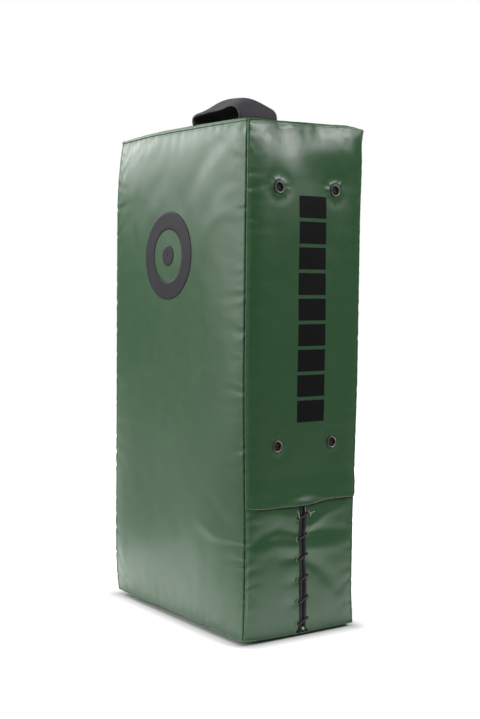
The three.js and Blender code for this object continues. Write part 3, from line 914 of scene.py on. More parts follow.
# Folds that the lacing pulls into the lower side: line, height, width
LACING_FOLDS = [
    ([(-0.020, 0.182), (-0.047, 0.190), (-0.073, 0.194), (-0.097, 0.182)], 0.0017, 0.0095),
    ([(-0.0145, 0.155), (-0.045, 0.163), (-0.072, 0.158), (-0.097, 0.146)], -0.0028, 0.0085),
    ([(-0.018, 0.137), (-0.054, 0.143), (-0.086, 0.131)], 0.0016, 0.0085),
    ([(-0.016, 0.119), (-0.040, 0.121)], -0.0020, 0.0070),
    ([(-0.013, 0.084), (-0.031, 0.085)], -0.0009, 0.0065),
    ([(-0.012, 0.051), (-0.030, 0.052)], -0.0009, 0.0065),
    ([(0.012, 0.164), (0.042, 0.180), (0.080, 0.192)], 0.0022, 0.0070),
    ([(0.008, 0.155), (0.042, 0.156), (0.096, 0.153)], -0.0024, 0.0075),
    ([(0.013, 0.131), (0.053, 0.130), (0.095, 0.128)], 0.0014, 0.0085),
    ([(0.008, 0.113), (0.038, 0.0985), (0.072, 0.064)], -0.0026, 0.0095),
]


def fold_field(u, v):
    """The folds under the hem, which the bound edges behind the vinyl share."""
    folds = np.zeros(np.broadcast(u, v).shape)
    for line, height, width in LACING_FOLDS:
        away, share = to_line(u, v, line)
        folds += height * bump(away, width * (1 + 0.4 * share)) * (1 - 0.5 * share ** 2)
    seam = smooth(HALF[1] - np.abs(u), 0.004, 0.02)
    return folds * seam * smooth(HEM_HEIGHT - v, -0.001, 0.010)


HOLE_DRAW = 0.0006
HOLE_DRAW_REACH = 0.0055


def half_relief(u, v):
    lift = side_relief(u, v)
    lift += fold_field(u, v)
    for side in (-1, 1):
        for row in range(HOLE_ROWS):
            seat_u, seat_v = leaning_hole(row, side)
            lift -= HOLE_DRAW * bump(np.hypot(u - seat_u, v - seat_v), HOLE_DRAW_REACH)
    return np.where(v > HEM_HEIGHT - 0.002, np.minimum(lift, 0.0001), lift)


HEM_FLARE = 0.0044
HEM_ROLL = 0.0022


def upper_relief(u, v):
    step_top = HEM_HEIGHT + HEM_OVERLAP + GAP + HEM_SLOPE
    step = np.clip((step_top - v) / HEM_SLOPE, 0, 1)
    lift = side_relief(u, v) + vent_relief(u, v)
    calm = smooth(v, HEM_HEIGHT + 0.010, HEM_HEIGHT + 0.040)
    lift = np.where(v < HEM_HEIGHT + 0.04, np.maximum(lift, lift * calm), lift)
    above = v - HEM_HEIGHT
    open_share = 0.5 + 0.5 * smooth(u, -0.07, 0.03) * (1 - 0.4 * smooth(u, 0.06, 0.1))
    sides = smooth(HALF[1] - np.abs(u), 0.0, 0.010)
    flare = HEM_FLARE * open_share * sides * np.exp(-np.maximum(0, above) / 0.008)
    rolled = HEM_ROLL * bump(u + 0.001, 0.024) * bump(above - 0.004, 0.007)
    return lift + step * (COVER + GAP) + flare + rolled


# Cover panels

WORN_AND_LIT_REACH = 0.004


def panel(name, node, face, u_lines, v_lines, relief, keep=None, warp=None, leans=False,
          printed=None):
    """One sheet of the cover; keep cuts holes, warp shapes its outline in the flat."""
    u, v = np.meshgrid(u_lines, v_lines)
    flat_u, flat_v = u, v
    if warp:
        u, v = warp(u, v)
    quads = grid_quads(len(v_lines), len(u_lines))
    if keep is not None:
        quads = quads[keep(u.ravel()[quads].mean(1), v.ravel()[quads].mean(1))]
    if leans:
        u, v = lean(u, v)
    points = on_face(face, u, v, relief(u, v) + creased(face, u, v))
    u_axis, v_axis = face_axes(face)
    near_u = HALF[u_axis] - np.abs(u)
    near_v = TOP_SEAM - v if v_axis == 2 else HALF[v_axis] - np.abs(v)
    # Pale seam band: wear and a painted highlight; the bottom seams of the upright faces get none.
    edge = np.exp(-np.maximum(0, np.minimum(near_u, near_v)) / WORN_AND_LIT_REACH)
    uv = np.stack([flat_u, flat_v], -1).reshape(-1, 2)
    used = np.unique(quads)
    faces = np.searchsorted(used, quads).tolist()
    piece = make_piece(name, points.reshape(-1, 3)[used], faces, cover_green, uv[used],
                       edge.ravel()[used], slot="cover_vinyl")
    if printed:
        piece.data.materials.append(print_and_shadow_black)
        inked = printed(*(uv[:, way][quads].mean(1) for way in (0, 1)))
        piece.data.polygons.foreach_set("material_index", inked.astype(np.int32))
    thicken(piece, COVER)
    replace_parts(piece, node)


EDGE_MARK = (0.007, 0.0009)


def seam_lines(low, high, coarse, extra=()):
    """Grid lines of a panel, closer together along its seams."""
    return spaced(low, high, coarse, [(low, *EDGE_MARK), (high, *EDGE_MARK), *extra])


def even_lines(half, coarse, extra=()):
    return seam_lines(-half, half, coarse, extra)


def upright_lines(coarse):
    return seam_lines(SEAM_LIFT, TOP_SEAM, coarse)


panel("striking_cover", "striking_panel", "front", even_lines(HALF[0], 0.0034),
      upright_lines(0.0036), front_relief)
panel("back_cover", "back_panel", "back", even_lines(HALF[0], 0.0060),
      upright_lines(0.0060), front_relief)
panel("plain_side_cover", "plain_side_panel", "plain", even_lines(HALF[1], 0.0050),
      upright_lines(0.0060), plain_relief)

# The mark's middle on the face, and its ring and dot: inner and outer radius, steps between
MARK_PLACE = (-0.008, 0.556)
MARK_RING = (0.039, 0.0665, 9)
MARK_DOT = (0.0004, 0.016, 6)
MARK_LIFT = 0.00018
MARK_THICKNESS = 0.00012


def front_mark():
    """A plain ring with a dot in it, printed on the striking face as an aiming mark."""
    parts = []
    for radii in (MARK_RING, MARK_DOT):
        reach, angle = np.meshgrid(np.linspace(*radii), np.linspace(0, TAU, 145))
        u = MARK_PLACE[0] + reach * np.cos(angle)
        v = MARK_PLACE[1] + reach * np.sin(angle)
        points = on_face("front", u, v, front_relief(u, v) + MARK_LIFT)
        parts.append((points.reshape(-1, 3), grid_quads(*u.shape).tolist()))
    piece = make_piece("front_mark", *join_parts(parts), front_ink, slot="cover_vinyl")
    weld(piece, 1e-6)
    thicken(piece, MARK_THICKNESS, 1.0)


front_mark()


def end_relief(u, v):
    d_u = HALF[0] - np.abs(u)
    d_v = HALF[1] - np.abs(v)
    lift = seam_strip(d_u, GROOVE, 0.0005, 0.0004) + seam_strip(d_v, GROOVE, 0.0005, 0.0004)
    lift += random_puckers(d_v, u, WIDE, 0.035, 71, 0.010, 0.0004)
    lift += puckers(d_u, v, scattered(*NARROW, 0.030, 79), 83, 0.010, 0.0004)
    inside = smooth(np.minimum(d_u, d_v), 0.004, 0.03)
    return lift + inside * waviness(u, v, 89, 0.10, 0.0003)


def flat_end_relief(u, v):
    """The base lies on the floor, so nothing of its relief stands below it."""
    d = np.minimum(HALF[0] - np.abs(u), HALF[1] - np.abs(v))
    drawn_in = np.minimum(0, end_relief(u, v)) * bump(np.maximum(0, d - 0.012), 0.01)
    return drawn_in - np.maximum(0, creased("base", u, v))


panel("top_cover", "top_panel", "top", even_lines(HALF[0], 0.0040),
      even_lines(HALF[1], 0.0040), end_relief)
panel("base_cover", "base_panel", "base", even_lines(HALF[0], 0.0070),
      even_lines(HALF[1], 0.0070), flat_end_relief)


def off_holes(places, radius):
    """Gives the test for what is left of a sheet round its punched holes."""
    def keep(u, v):
        return np.all([np.hypot(u - hole_u, v - hole_v) > radius for hole_u, hole_v in places], 0)

    return keep


# How far the hem's edge stands over its level line at places across the side
HEM_PLACES = (-0.104, -0.100, -0.081, -0.055, -0.008, 0.011, 0.040, 0.071, 0.100, 0.104)
HEM_RISES = (0.0009, 0.0009, -0.0008, -0.0006, -0.0004, 0.0004, 0.0036, 0.0041, 0.0024, 0.0020)


def dip_hem(u, v):
    """The hem's edge wanders a little up and down."""
    return u, v + np.interp(u, HEM_PLACES, HEM_RISES) * np.exp(-(v - HEM_HEIGHT) / 0.012)


VENT_MARK = (0.012, 0.0011)

# The printed bar: middle and half width, foot, pitch, and the printed share of each pitch
BLOCKS = 9
BLOCK_MIDDLE = 0.009
BLOCK_HALF = 0.025
BLOCK_LOW = 0.3145
BLOCK_PITCH = 0.0366
BLOCK_SHARE = 0.86


def through_marks(lines, marks):
    """Grid lines moved so that one falls on each mark."""
    lines = np.array(lines)
    for mark in marks:
        lines[np.argmin(np.abs(lines - mark))] = mark
    return lines


def in_block(u, v):
    """A plain bar of equal blocks up the side."""
    up = (v - BLOCK_LOW) / BLOCK_PITCH
    inside = (up > 0) & (up < BLOCKS) & (np.abs(up % 1 - 0.5) < BLOCK_SHARE / 2)
    return inside & (np.abs(u - BLOCK_MIDDLE) < BLOCK_HALF)


block_sides = [BLOCK_MIDDLE + side * BLOCK_HALF for side in (-1, 1)]
block_rows = [BLOCK_LOW + (k + 0.5 + end * BLOCK_SHARE / 2) * BLOCK_PITCH
              for k in range(BLOCKS) for end in (-1, 1)]
vent_sides = [(side * VENT_ACROSS, *VENT_MARK) for side in (-1, 1)]
vent_rows = [(height, *VENT_MARK) for height in VENT_HEIGHTS.values()]
panel("laced_side_upper_cover", "laced_side_upper_panel", "laced",
      through_marks(even_lines(HALF[1], 0.0030, vent_sides), block_sides),
      through_marks(seam_lines(HEM_HEIGHT, TOP_SEAM, 0.0034, vent_rows), block_rows),
      upper_relief, keep=off_holes(VENTS.values(), VENT_CUT), warp=dip_hem, printed=in_block)


def sheet(name, u, v, points, finish, thickness):
    """A thin dark sheet on a grid, for the strips and bindings."""
    piece = make_piece(name, points, grid_quads(*u.shape).tolist(), finish,
                       np.stack([u, v], -1), slot="black_binding")
    thicken(piece, thickness)
    return piece


STRIP_THICKNESS = 0.0006
CUT_EDGE_RADIUS = 0.00062


def hem_shadow_strip():
    """A dark strip behind the hem that shows as a line under its edge: painted shadow under the
    hem, shown wider toward the back half.
    """
    drops = (-0.0028, -0.0004, 0.004, 0.012)
    places, drops = np.meshgrid(np.linspace(-0.100, 0.0985, 90), drops)
    show = 0.45 + 0.55 * smooth(places, -0.03, 0.02)
    u, v = dip_hem(places, HEM_HEIGHT + np.where(drops < 0, drops * show, drops))
    lift = upper_relief(u, np.maximum(v, HEM_HEIGHT)) - COVER - 0.0004
    sheet("hem_shadow_strip", u, v, on_face("laced", u, v, lift), print_and_shadow_black, STRIP_THICKNESS)


def hem_cut_edge():
    """The cut edge of the hem, where the pale backing shows."""
    places = np.linspace(-0.1015, 0.1015, 160)
    u, v = dip_hem(places, np.full(places.shape, HEM_HEIGHT))
    path = on_face("laced", u, v, upper_relief(u, v) - COVER / 2)
    make_piece("hem_cut_edge", *tube(path, CUT_EDGE_RADIUS, 6), cut_pale, slot="cover_vinyl")


hem_shadow_strip()
hem_cut_edge()

CORNER_CUT = 0.013


def laced_half(side, name, node):
    """One half of the cover beside the slot, its lower corner cut round."""
    reach = HALF[1] - SLOT_HALF
    holes = [hole_height(row, side) for row in range(HOLE_ROWS)]
    marks = [(hole, 0.003, 0.0006) for hole in holes]
    v_lines = seam_lines(SEAM_LIFT, HEM_HEIGHT + HEM_OVERLAP, 0.0030, marks)
    s_lines = spaced(0.0, reach, 0.0032, [(0.003, 0.0045, 0.0005), (reach, *EDGE_MARK)])

    def warp(s, v):
        s = s if side > 0 else s[:, ::-1]
        rise = np.clip(1 - (v - SEAM_LIFT) / CORNER_CUT, 0, 1)
        cut = CORNER_CUT * (1 - np.sqrt(1 - rise ** 2))
        rows = (v - hole_height(0, side)) / LACE_PITCH
        scallop = 0.0005 * (1 - np.cos(TAU * rows)) / 2 * np.exp(-s / 0.006)
        y = SLOT_HALF + cut - scallop + s * (reach - cut) / reach
        return side * y, v

    keep = off_holes([(side * HOLE_OFFSET, hole) for hole in holes], HOLE_RADIUS)
    panel(name, node, "laced", s_lines, v_lines, half_relief, keep=keep, warp=warp, leans=True)


laced_half(-1, "laced_side_front_cover", "laced_side_front_half")
laced_half(1, "laced_side_back_cover", "laced_side_back_half")


# Foam, bound slot edges, lace

FOAM_INSET = 0.0048
FOAM_ROUND = 0.006
FOAM_STEP = 0.012
FOAM_EDGE = (0.006, 0.002)
LACING_ROOM = 0.0058


def foam_block(node, y_low, y_high, finish, slot, dented=False):
    """A cut foam layer with soft edges, swollen with the cover; dented is the lacing's room."""
    low = np.array([FOAM_INSET - HALF[0], y_low, SEAM_LIFT + FOAM_INSET])
    high = np.array([HALF[0] - FOAM_INSET, y_high, TOP_SEAM - FOAM_INSET])
    parts = []
    edges = [spaced(*ends, FOAM_STEP, [(end, *FOAM_EDGE) for end in ends])
             for ends in zip(low, high)]
    for axis in range(3):
        a, b = [i for i in range(3) if i != axis]
        a_lines, b_lines = edges[a], edges[b]
        if dented and axis == 0:
            a_lines = np.unique(np.concatenate([a_lines, np.linspace(-0.034, 0.034, 24)]))
        grid_a, grid_b = np.meshgrid(a_lines, b_lines)
        for side in (0, 1):
            flat = np.zeros(grid_a.shape + (3,))
            flat[..., a], flat[..., b] = grid_a, grid_b
            flat[..., axis] = (low, high)[side][axis]
            core = np.clip(flat, low + FOAM_ROUND, high - FOAM_ROUND)
            out = flat - core
            reach = np.maximum(np.linalg.norm(out, axis=-1, keepdims=True), 1e-9)
            flat = core + out / reach * FOAM_ROUND
            if dented and axis == 0 and side:
                room = 1 - smooth(np.abs(flat[..., 1]), 0.0235, 0.031)
                flat[..., 0] -= LACING_ROOM * room * (1 - smooth(flat[..., 2], 0.212, 0.221))
            quads = grid_quads(len(b_lines), len(a_lines))
            if (side == 1) == (axis == 1):
                quads = quads[:, ::-1]
            parts.append((crowned(flat), quads.tolist()))
    piece = make_piece(f"{node}_layer", *join_parts(parts), finish, slot=slot)
    weld(piece, 2e-5)
    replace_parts(piece, node)


FOAM_FACE = HALF[1] - FOAM_INSET
foam_block("striking_foam", -FOAM_FACE, -0.0622, firm_foam, "firm_foam")
foam_block("core_foam", -0.0616, 0.0676, soft_foam, "soft_foam", dented=True)
foam_block("backing_foam", 0.0682, FOAM_FACE, firm_foam, "firm_foam")


def pass_height(row, y):
    """Height at which the lace crosses the slot between a back hole and the front one."""
    return hole_height(row, -1) + LACE_STAGGER * (y + HOLE_OFFSET) / (2 * HOLE_OFFSET)


def slot_seat(y, z, lift):
    """A point on the lacing, in line with the leaning slot and its folds."""
    y, z = lean(np.asarray(y, float), np.asarray(z, float))
    return on_face("laced", y, z, lift + fold_field(y, z))


FACING_RISE = 0.0030
FACING_PINCH = 0.0017
FACING_RIBS = (0.00016, 0.00125)


def facing_band(side, name, node):
    """A bound edge behind the slot, full between the passes of the lace and pinched at each."""
    across = [0.0006, *np.linspace(0.0010, 0.0074, 15), 0.0082, 0.0098, 0.0130, 0.0180]
    s, z = np.meshgrid(across, spaced(SLOT_FOOT, 0.212, 0.0016))
    share = np.clip((s - 0.0006) / 0.0072, 0, 1)
    pinch = sum(bump(z - pass_height(row, side * s), 0.0042) for row in range(HOLE_ROWS))
    full = np.sin(math.pi * share) ** 0.7
    rib_height, rib_pitch = FACING_RIBS
    ribs = rib_height * np.cos(TAU * s / rib_pitch) * full
    rise = full * (FACING_RISE - FACING_PINCH * np.minimum(1, pinch)) + ribs
    lift = rise - FACING_DEPTH - 0.0004 * smooth(s, 0.007, 0.012)
    if side < 0:
        s, z, lift = s[:, ::-1], z[:, ::-1], lift[:, ::-1]
    points = slot_seat(side * s, z, lift)
    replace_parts(sheet(name, side * s, z, points, binding_black, FACING), node)


def tongue():
    """The cloth behind the slot, drawn in a little between the passes of the lace."""
    u, v = np.meshgrid(spaced(-0.023, 0.023, 0.0023), spaced(SLOT_FOOT, 0.218, 0.003))
    sunk = TONGUE_DEPTH + 0.0004 * (1 - np.cos(TAU * v / LACE_PITCH)) / 2
    points = on_face("laced", u, v, -sunk)
    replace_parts(sheet("slot_tongue_cloth", u, v, points, binding_black, COVER), "slot_tongue")


SLOT_FOOT = 0.0069
facing_band(-1, "slot_band_front", "slot_facing_front")
facing_band(1, "slot_band_back", "slot_facing_back")
tongue()

# The lace's bends at a hole, in lace thicknesses: out of the sheet, and toward the slot
OVER_BENDS = ((0.1, 0.05), (0.55, 0.42), (0.78, 1.1))
END_KNOT = 0.0021
FRAYED_KNOT = 0.0022


def through_hole(row, side):
    height = hole_height(row, side)

    def bend(level, direction, out, drift):
        return side * (HOLE_OFFSET - drift * LACE), height, direction * out * LACE - level

    return ([bend(0, 1, *b) for b in OVER_BENDS[::-1]]
            + [bend(HIDDEN_DEPTH - GAP, -1, *b) for b in OVER_BENDS])


def lace_end(row, side):
    """The lace's end behind the cover, over its last hole."""
    return side * 0.4 * HOLE_OFFSET, hole_height(row, side) + 0.009, -HIDDEN_DEPTH - KNOT / 2


def lace_route():
    places = [lace_end(HOLE_ROWS - 1, 1)]
    for row in range(HOLE_ROWS - 1, -1, -1):
        places += through_hole(row, 1)[::-1]
        places.append((0.0, (hole_height(row, 1) + hole_height(row, -1)) / 2, 0.55 * LACE))
        places += through_hole(row, -1)
    places.append(lace_end(0, -1))
    y, z, lift = np.array(places).T
    return even_steps(through_points(slot_seat(y, z, lift), 14), 0.0007)


def knot(centre, size):
    """A small overhand knot."""
    t = turns(56)
    loop = np.stack([-1.4 * np.sin(3 * t), np.sin(t) + 2 * np.sin(2 * t),
                     np.cos(t) - 2 * np.cos(2 * t)], -1)
    loop = centre + loop * size / 3.6
    return tube(np.concatenate([loop, loop[:2]]), 0.36 * size, 7)


def lace():
    """One braided lace with a knot at each end."""
    line = lace_route()
    braid = 1 + 0.06 * np.sin(2 * turns(8) + np.arange(len(line))[:, None] * 1.15)
    ends = [knot(line[end], END_KNOT) for end in (0, -1)]
    parts = join_parts([tube(line, braid * LACE / 2, 8), *ends])
    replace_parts(make_piece("slot_lace", *parts, lace_black, slot="lace_cord"), "lace")


lace()


def lying(places, lift, radius):
    """A tapered thread that lies on the laced side, through the given places."""
    line = even_steps(through_points(places, 8), 0.0006)
    path = on_face("laced", line[:, 0], line[:, 1], np.linspace(*lift, len(line)))
    taper = np.sin(math.pi * np.linspace(0.12, 0.95, len(path))) ** 0.5
    return tube(path, (radius * taper)[:, None], 6)


# Pale rims: side, start and end of the arc in degrees, thickness
PUNCHED = ((-1, 95, 285, 0.00078), (1, -35, 75, 0.00036))
PUNCHED_ACROSS = 0.0026
PUNCHED_UP = 0.0028


def punched_rims():
    """Pale arcs on the side of each punched hole away from the slot, thicker on the front half."""
    rng = np.random.default_rng(97)
    parts = []
    for row in range(HOLE_ROWS):
        for side, first, last, thick in PUNCHED:
            y, z = leaning_hole(row, side)
            start = first + rng.uniform(-25, 15)
            angle = np.radians(np.linspace(start, last + rng.uniform(-15, 25), 14))
            path = on_face("laced", y + PUNCHED_ACROSS * np.cos(angle),
                           z + PUNCHED_UP * np.sin(angle), -0.0002)
            taper = np.sin(math.pi * np.linspace(0.1, 0.9, 14)) ** 0.6
            parts.append(tube(path, (taper * thick * rng.uniform(0.7, 1.15))[:, None], 6))
    return join_parts(parts)


make_piece("punched_hole_rims", *punched_rims(), punched_pale, slot="cover_vinyl")

# Loose threads: line, height at both ends, thickness
ON_VINYL = (0.0006, 0.0018)
OVER_SLOT = (0.0022, 0.0022)
FRAYED = (
    (((-0.0131, 0.1890), (-0.0112, 0.1855), (-0.0106, 0.1803), (-0.0104, 0.1760)),
     ON_VINYL, 0.00050),
    (((-0.0108, 0.1830), (-0.0096, 0.1790), (-0.0103, 0.1745)), ON_VINYL, 0.00055),
    (((0.0088, 0.1855), (0.0110, 0.1840), (0.0132, 0.1818)), ON_VINYL, 0.00060),
    (((0.0128, 0.1816), (0.0160, 0.1842), (0.0193, 0.1856)), ON_VINYL, 0.00045),
    (((0.0120, 0.1830), (0.0116, 0.1800), (0.0112, 0.1780)), ON_VINYL, 0.00045),
    (((0.0009, 0.1944), (0.0004, 0.1905), (0.0007, 0.1868)), OVER_SLOT, 0.00045),
)
frayed = [lying(*thread) for thread in FRAYED]
frayed.append(knot(slot_seat(-0.001, 0.0125, 0.0030), FRAYED_KNOT))
make_piece("frayed_threads", *join_parts(frayed), frayed_pale, slot="cover_vinyl")


# Vents

def vent_frame(place_u, place_v):
    """A vent's seat, with the directions along the face and out of it."""
    u, v = np.array(place_u), np.array(place_v)
    seat = on_face("laced", u, v)
    out = unit(on_face("laced", u, v, 0.001) - seat)
    across = unit(np.cross((0, 0, 1), out))
    return seat, across, np.cross(out, across), out


# Section of a rim in millimetres: radius, height, and how rubbed it is
RIM_PROFILE = (
    (9.70, -0.40, 0), (10.05, 0.10, 0), (9.90, 0.55, 0.08), (9.40, 0.92, 0.2), (8.80, 1.20, 0.38),
    (8.20, 1.36, 0.52), (7.60, 1.32, 0.66), (7.12, 1.02, 0.8), (6.82, 0.50, 0.92), (6.70, -0.20, 1),
    (6.70, -1.40, 1), (6.75, -2.30, 1), (7.22, -2.30, 1), (7.28, -1.40, 1), (7.32, -0.50, 0.5),
    (8.40, -0.55, 0),
)


RIM_SIDES = 48
WIRE_REACH = 0.0080
WIRE_PITCH = 0.00115
WIRE_DEPTH = 0.0031
WIRE_WAVE = 0.00022
WIRE_RADIUS = 0.00024
DISC_RADIUS = 0.0084
DISC_TOP = -0.0034
DISC_FOOT = -0.0037
DISC_SIDES = 32


def vent_rim(name, seat, across, up, out):
    r, h, share = np.array(RIM_PROFILE).T
    turn = turns(RIM_SIDES)
    ray = spokes(turn, across, up)[:, None, :]
    points = seat + ray * (r * 1e-3)[:, None] + out * (h * 1e-3)[:, None]
    index = np.arange(RIM_SIDES * len(r)).reshape(RIM_SIDES, len(r))
    ahead = np.roll(index, -1, axis=0)
    faces = np.stack([index, ahead, np.roll(ahead, -1, axis=1), np.roll(index, -1, axis=1)], -1)
    uv = np.stack(np.broadcast_arrays(turn[:, None], share), -1)
    piece = make_piece(f"vent_rim_{name}", points, faces.reshape(-1, 4).tolist(), rim_metal, uv,
                       slot="vent_metal")
    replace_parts(piece, f"vent_eyelet_{name}")


def gauze_disc(seat, across, up, out):
    ray = seat + spokes(turns(DISC_SIDES), across, up) * DISC_RADIUS
    points = [seat + DISC_TOP * out, *(ray + DISC_TOP * out), *(ray + DISC_FOOT * out),
              seat + DISC_FOOT * out]
    faces = []
    for i in range(DISC_SIDES):
        here, ahead = 1 + i, 1 + (i + 1) % DISC_SIDES
        below, below_ahead = here + DISC_SIDES, ahead + DISC_SIDES
        faces += [[0, here, ahead], [here, below, below_ahead, ahead],
                  [2 * DISC_SIDES + 1, below_ahead, below]]
    return points, faces


def vent_mesh(name, seat, across, up, out):
    """Woven wires over a dark gauze disc."""
    parts = []
    for first, second, over in ((across, up, 1), (up, across, -1)):
        for i in range(-6, 7):
            offset = i * WIRE_PITCH
            half = math.sqrt(WIRE_REACH ** 2 - offset ** 2)
            t = np.linspace(-half, half, 40)
            rise = over * WIRE_WAVE * np.cos(math.pi * (t / WIRE_PITCH + i)) - WIRE_DEPTH
            path = seat + t[:, None] * first + offset * second + rise[:, None] * out
            parts.append(tube(path, WIRE_RADIUS, 5))
    parts.append(gauze_disc(seat, across, up, out))
    piece = make_piece(f"vent_wires_{name}", *join_parts(parts), screen_dark, slot="vent_mesh")
    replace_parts(piece, f"vent_screen_{name}")


for vent_name, vent_place in VENTS.items():
    vent_seat = vent_frame(*vent_place)
    vent_rim(vent_name, *vent_seat)
    vent_mesh(vent_name, *vent_seat)
    for material_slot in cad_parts[f"vent_washer_{vent_name}"].material_slots:
        material_slot.material = washer_metal


# Stitches

STITCH_PITCH = 0.003
STITCH_LENGTH = 0.0022
STITCH_RADIUS = 0.00045
# Along one stitch: place, thickness, and how far it dips into the cloth
STITCH_RINGS = ((-0.5, 0.45, -1.0), (-0.36, 1, 0.1), (0.36, 1, 0.1), (0.5, 0.45, -1.0))


def stitch_row(points, outs):
    """Short raised stitches along a line, given its points and the way out of the cloth."""
    step, thick, dip = np.array(STITCH_RINGS).T[:, None, :, None, None]
    travel = travelled(points)
    count = int(travel[-1] / STITCH_PITCH)
    places = (np.arange(count) + 0.5) * travel[-1] / count
    after, before = (at_travel(places + way, travel, points) for way in (0.001, -0.001))
    ahead = unit(after - before)[:, None, None]
    centre = at_travel(places, travel, points)[:, None, None]
    out = at_travel(places, travel, outs)[:, None, None]
    ring = spokes(turns(6), np.cross(ahead, out), out)
    skins = (centre + step * STITCH_LENGTH * ahead
             + (thick * ring + dip * out) * STITCH_RADIUS)
    faces = ring_faces(4, 6, outward=False)
    return [(skin, faces) for skin in skins]


def seam_row(face, u, v, relief):
    """A line along a face at its relief's height, and the way out of it."""
    u, v = np.broadcast_arrays(np.asarray(u, float), np.asarray(v, float))
    lift = relief(u, v)
    here = on_face(face, u, v, lift)
    return here, unit(on_face(face, u, v, lift + 0.001) - here)


SEAM_END = 0.003
CROSS_PITCH = 0.0031
up_line = np.linspace(SEAM_LIFT + SEAM_END, TOP_SEAM - SEAM_END, 240)
wide_line = np.linspace(SEAM_END - HALF[0], HALF[0] - SEAM_END, 140)
deep_line = np.linspace(SEAM_END - HALF[1], HALF[1] - SEAM_END, 90)


def near_seam():
    """The dark seam of the near corner: a continuous black cord that stands for the thread and
    paints the shade in the seam's groove, with short cross stitches.
    """
    line = seam_row("front", HALF[0] - 0.0012, up_line, front_relief)[0]
    # This continuous cord is painted shade in the seam's groove as well as thread.
    parts = [tube(line, 0.0006, 6)]
    for height in np.arange(SEAM_LIFT + 0.005, TOP_SEAM - 0.004, CROSS_PITCH):
        across = HALF[0] - np.array([0.0010, 0.0028, 0.0048])
        here, out = seam_row("front", across, np.full(3, height), front_relief)
        parts.append(tube(here + out * np.array([[0.0002], [0.0005], [-0.0002]]), 0.0005, 5))
    return join_parts(parts)


make_piece("near_seam_stitches_and_shade_line", *near_seam(), thread_and_shade_black, slot="cover_vinyl")

# Stitched seams: face, the line's place along each direction, relief
above_hem = up_line[up_line > HEM_HEIGHT + SEAM_END]
below_hem = up_line[up_line < HEM_HEIGHT - SEAM_END]
STITCHED = (
    ("front", GROOVE - HALF[0], up_line, front_relief),
    ("front", wide_line, TOP_SEAM - FRONT_TOP_GROOVE, front_relief),
    ("back", HALF[0] - CORNER_GROOVE, up_line, front_relief),
    ("back", GROOVE - HALF[0], up_line, front_relief),
    ("back", wide_line, TOP_SEAM - FRONT_TOP_GROOVE, front_relief),
    ("plain", SIDE_GROOVE - HALF[1], up_line, plain_relief),
    ("laced", HALF[1] - GROOVE, above_hem, upper_relief),
    ("laced", HALF[1] - GROOVE, below_hem, half_relief),
    ("laced", deep_line, TOP_SEAM - SIDE_TOP_GROOVE, upper_relief),
    ("top", wide_line, GROOVE - HALF[1], end_relief),
    ("top", wide_line, HALF[1] - GROOVE, end_relief),
    ("top", GROOVE - HALF[0], deep_line, end_relief),
    ("top", HALF[0] - GROOVE, deep_line, end_relief),
)
stitched = join_parts([part for seam in STITCHED for part in stitch_row(*seam_row(*seam))])
make_piece("seam_stitches", *stitched, thread_dark, slot="cover_vinyl")


# Straps

FOOT = 0.003
FOOT_LENGTH = 0.042
END_TAPER = 0.0015
# Arches as shares of half the span and of the rise; the handle's is the worn one of the photo
HANDLE_ROUTE = ((1, 0), (1.0, 0.298), (0.866, 0.60), (0.61, 0.828), (0.248, 0.906),
                (-0.218, 0.91), (-0.606, 0.722), (-1.036, 0.408), (-1, 0))
LOOP_ROUTE = ((1, 0), (1.03, 0.32), (0.92, 0.66), (0.55, 0.92), (0, 1),
              (-0.55, 0.92), (-0.92, 0.66), (-1.03, 0.32), (-1, 0))
ARM_LOOP = (0.074, 0.004, 0.144, 0.070, (0.005, 0.005), LOOP_ROUTE)
# Face, height on it, width, thickness, span, rise, droop of each edge, arch
STRAPS = {
    "top_handle": ("top", 0.0, 0.070, 0.005, 0.124, 0.044, (0.0194, 0.0243), HANDLE_ROUTE),
    "lower_arm_loop": ("back", 0.235, *ARM_LOOP),
    "upper_arm_loop": ("back", 0.425, *ARM_LOOP),
    "hand_grip": ("back", 0.585, 0.034, 0.009, 0.118, 0.046, (0.008, 0.008), LOOP_ROUTE),
}


def strap_place(face, height, along, lateral, up):
    """Turns a strap's own directions into the frame's."""
    if face == "top":
        return np.stack([along, lateral, up], -1)
    return np.stack([along, up, height - lateral], -1)


def face_height(face, x, lateral, height):
    """How far the filled face stands out at a place beside a strap's middle line."""
    axis, level = (2, TOP_SEAM) if face == "top" else (1, HALF[1])
    x, lateral, level = np.broadcast_arrays(x, lateral, level)
    return crowned(strap_place(face, height, x, lateral, level))[..., axis]


def strap_path(half, rise, route):
    """A strap's middle line: out along each foot, up the legs and over."""
    loop = through_points([(out * half, up * rise) for out, up in route])
    legs = loop[loop[:, 1] > 0.008]
    sole = -GAP - FOOT / 2
    right = [(half + FOOT_LENGTH, sole), (half + 0.6 * FOOT_LENGTH, sole), (half + 0.008, sole),
             (half + 0.0025, sole + 0.0012), (half + 0.0004, 0.0035)]
    left = [(-x, z) for x, z in right[::-1]]
    return even_steps(through_points(np.concatenate([right, legs[::6], left]), 12), 0.0022)


def strap_section(width, thickness):
    """Places across a strap, and the level of each as a share of half its thickness."""
    inner = np.linspace(-1, 1, 15) * (width / 2 - 0.9 * thickness / 2)
    shoulder = width / 2 - 0.13 * thickness
    cross = [(width / 2, 0), (shoulder, 0.72), *((x, 1.0) for x in inner[::-1]),
             (-shoulder, 0.72), (-width / 2, 0), (-shoulder, -0.72),
             *((x, -1.0) for x in inner), (shoulder, -0.72)]
    return np.array(cross).T


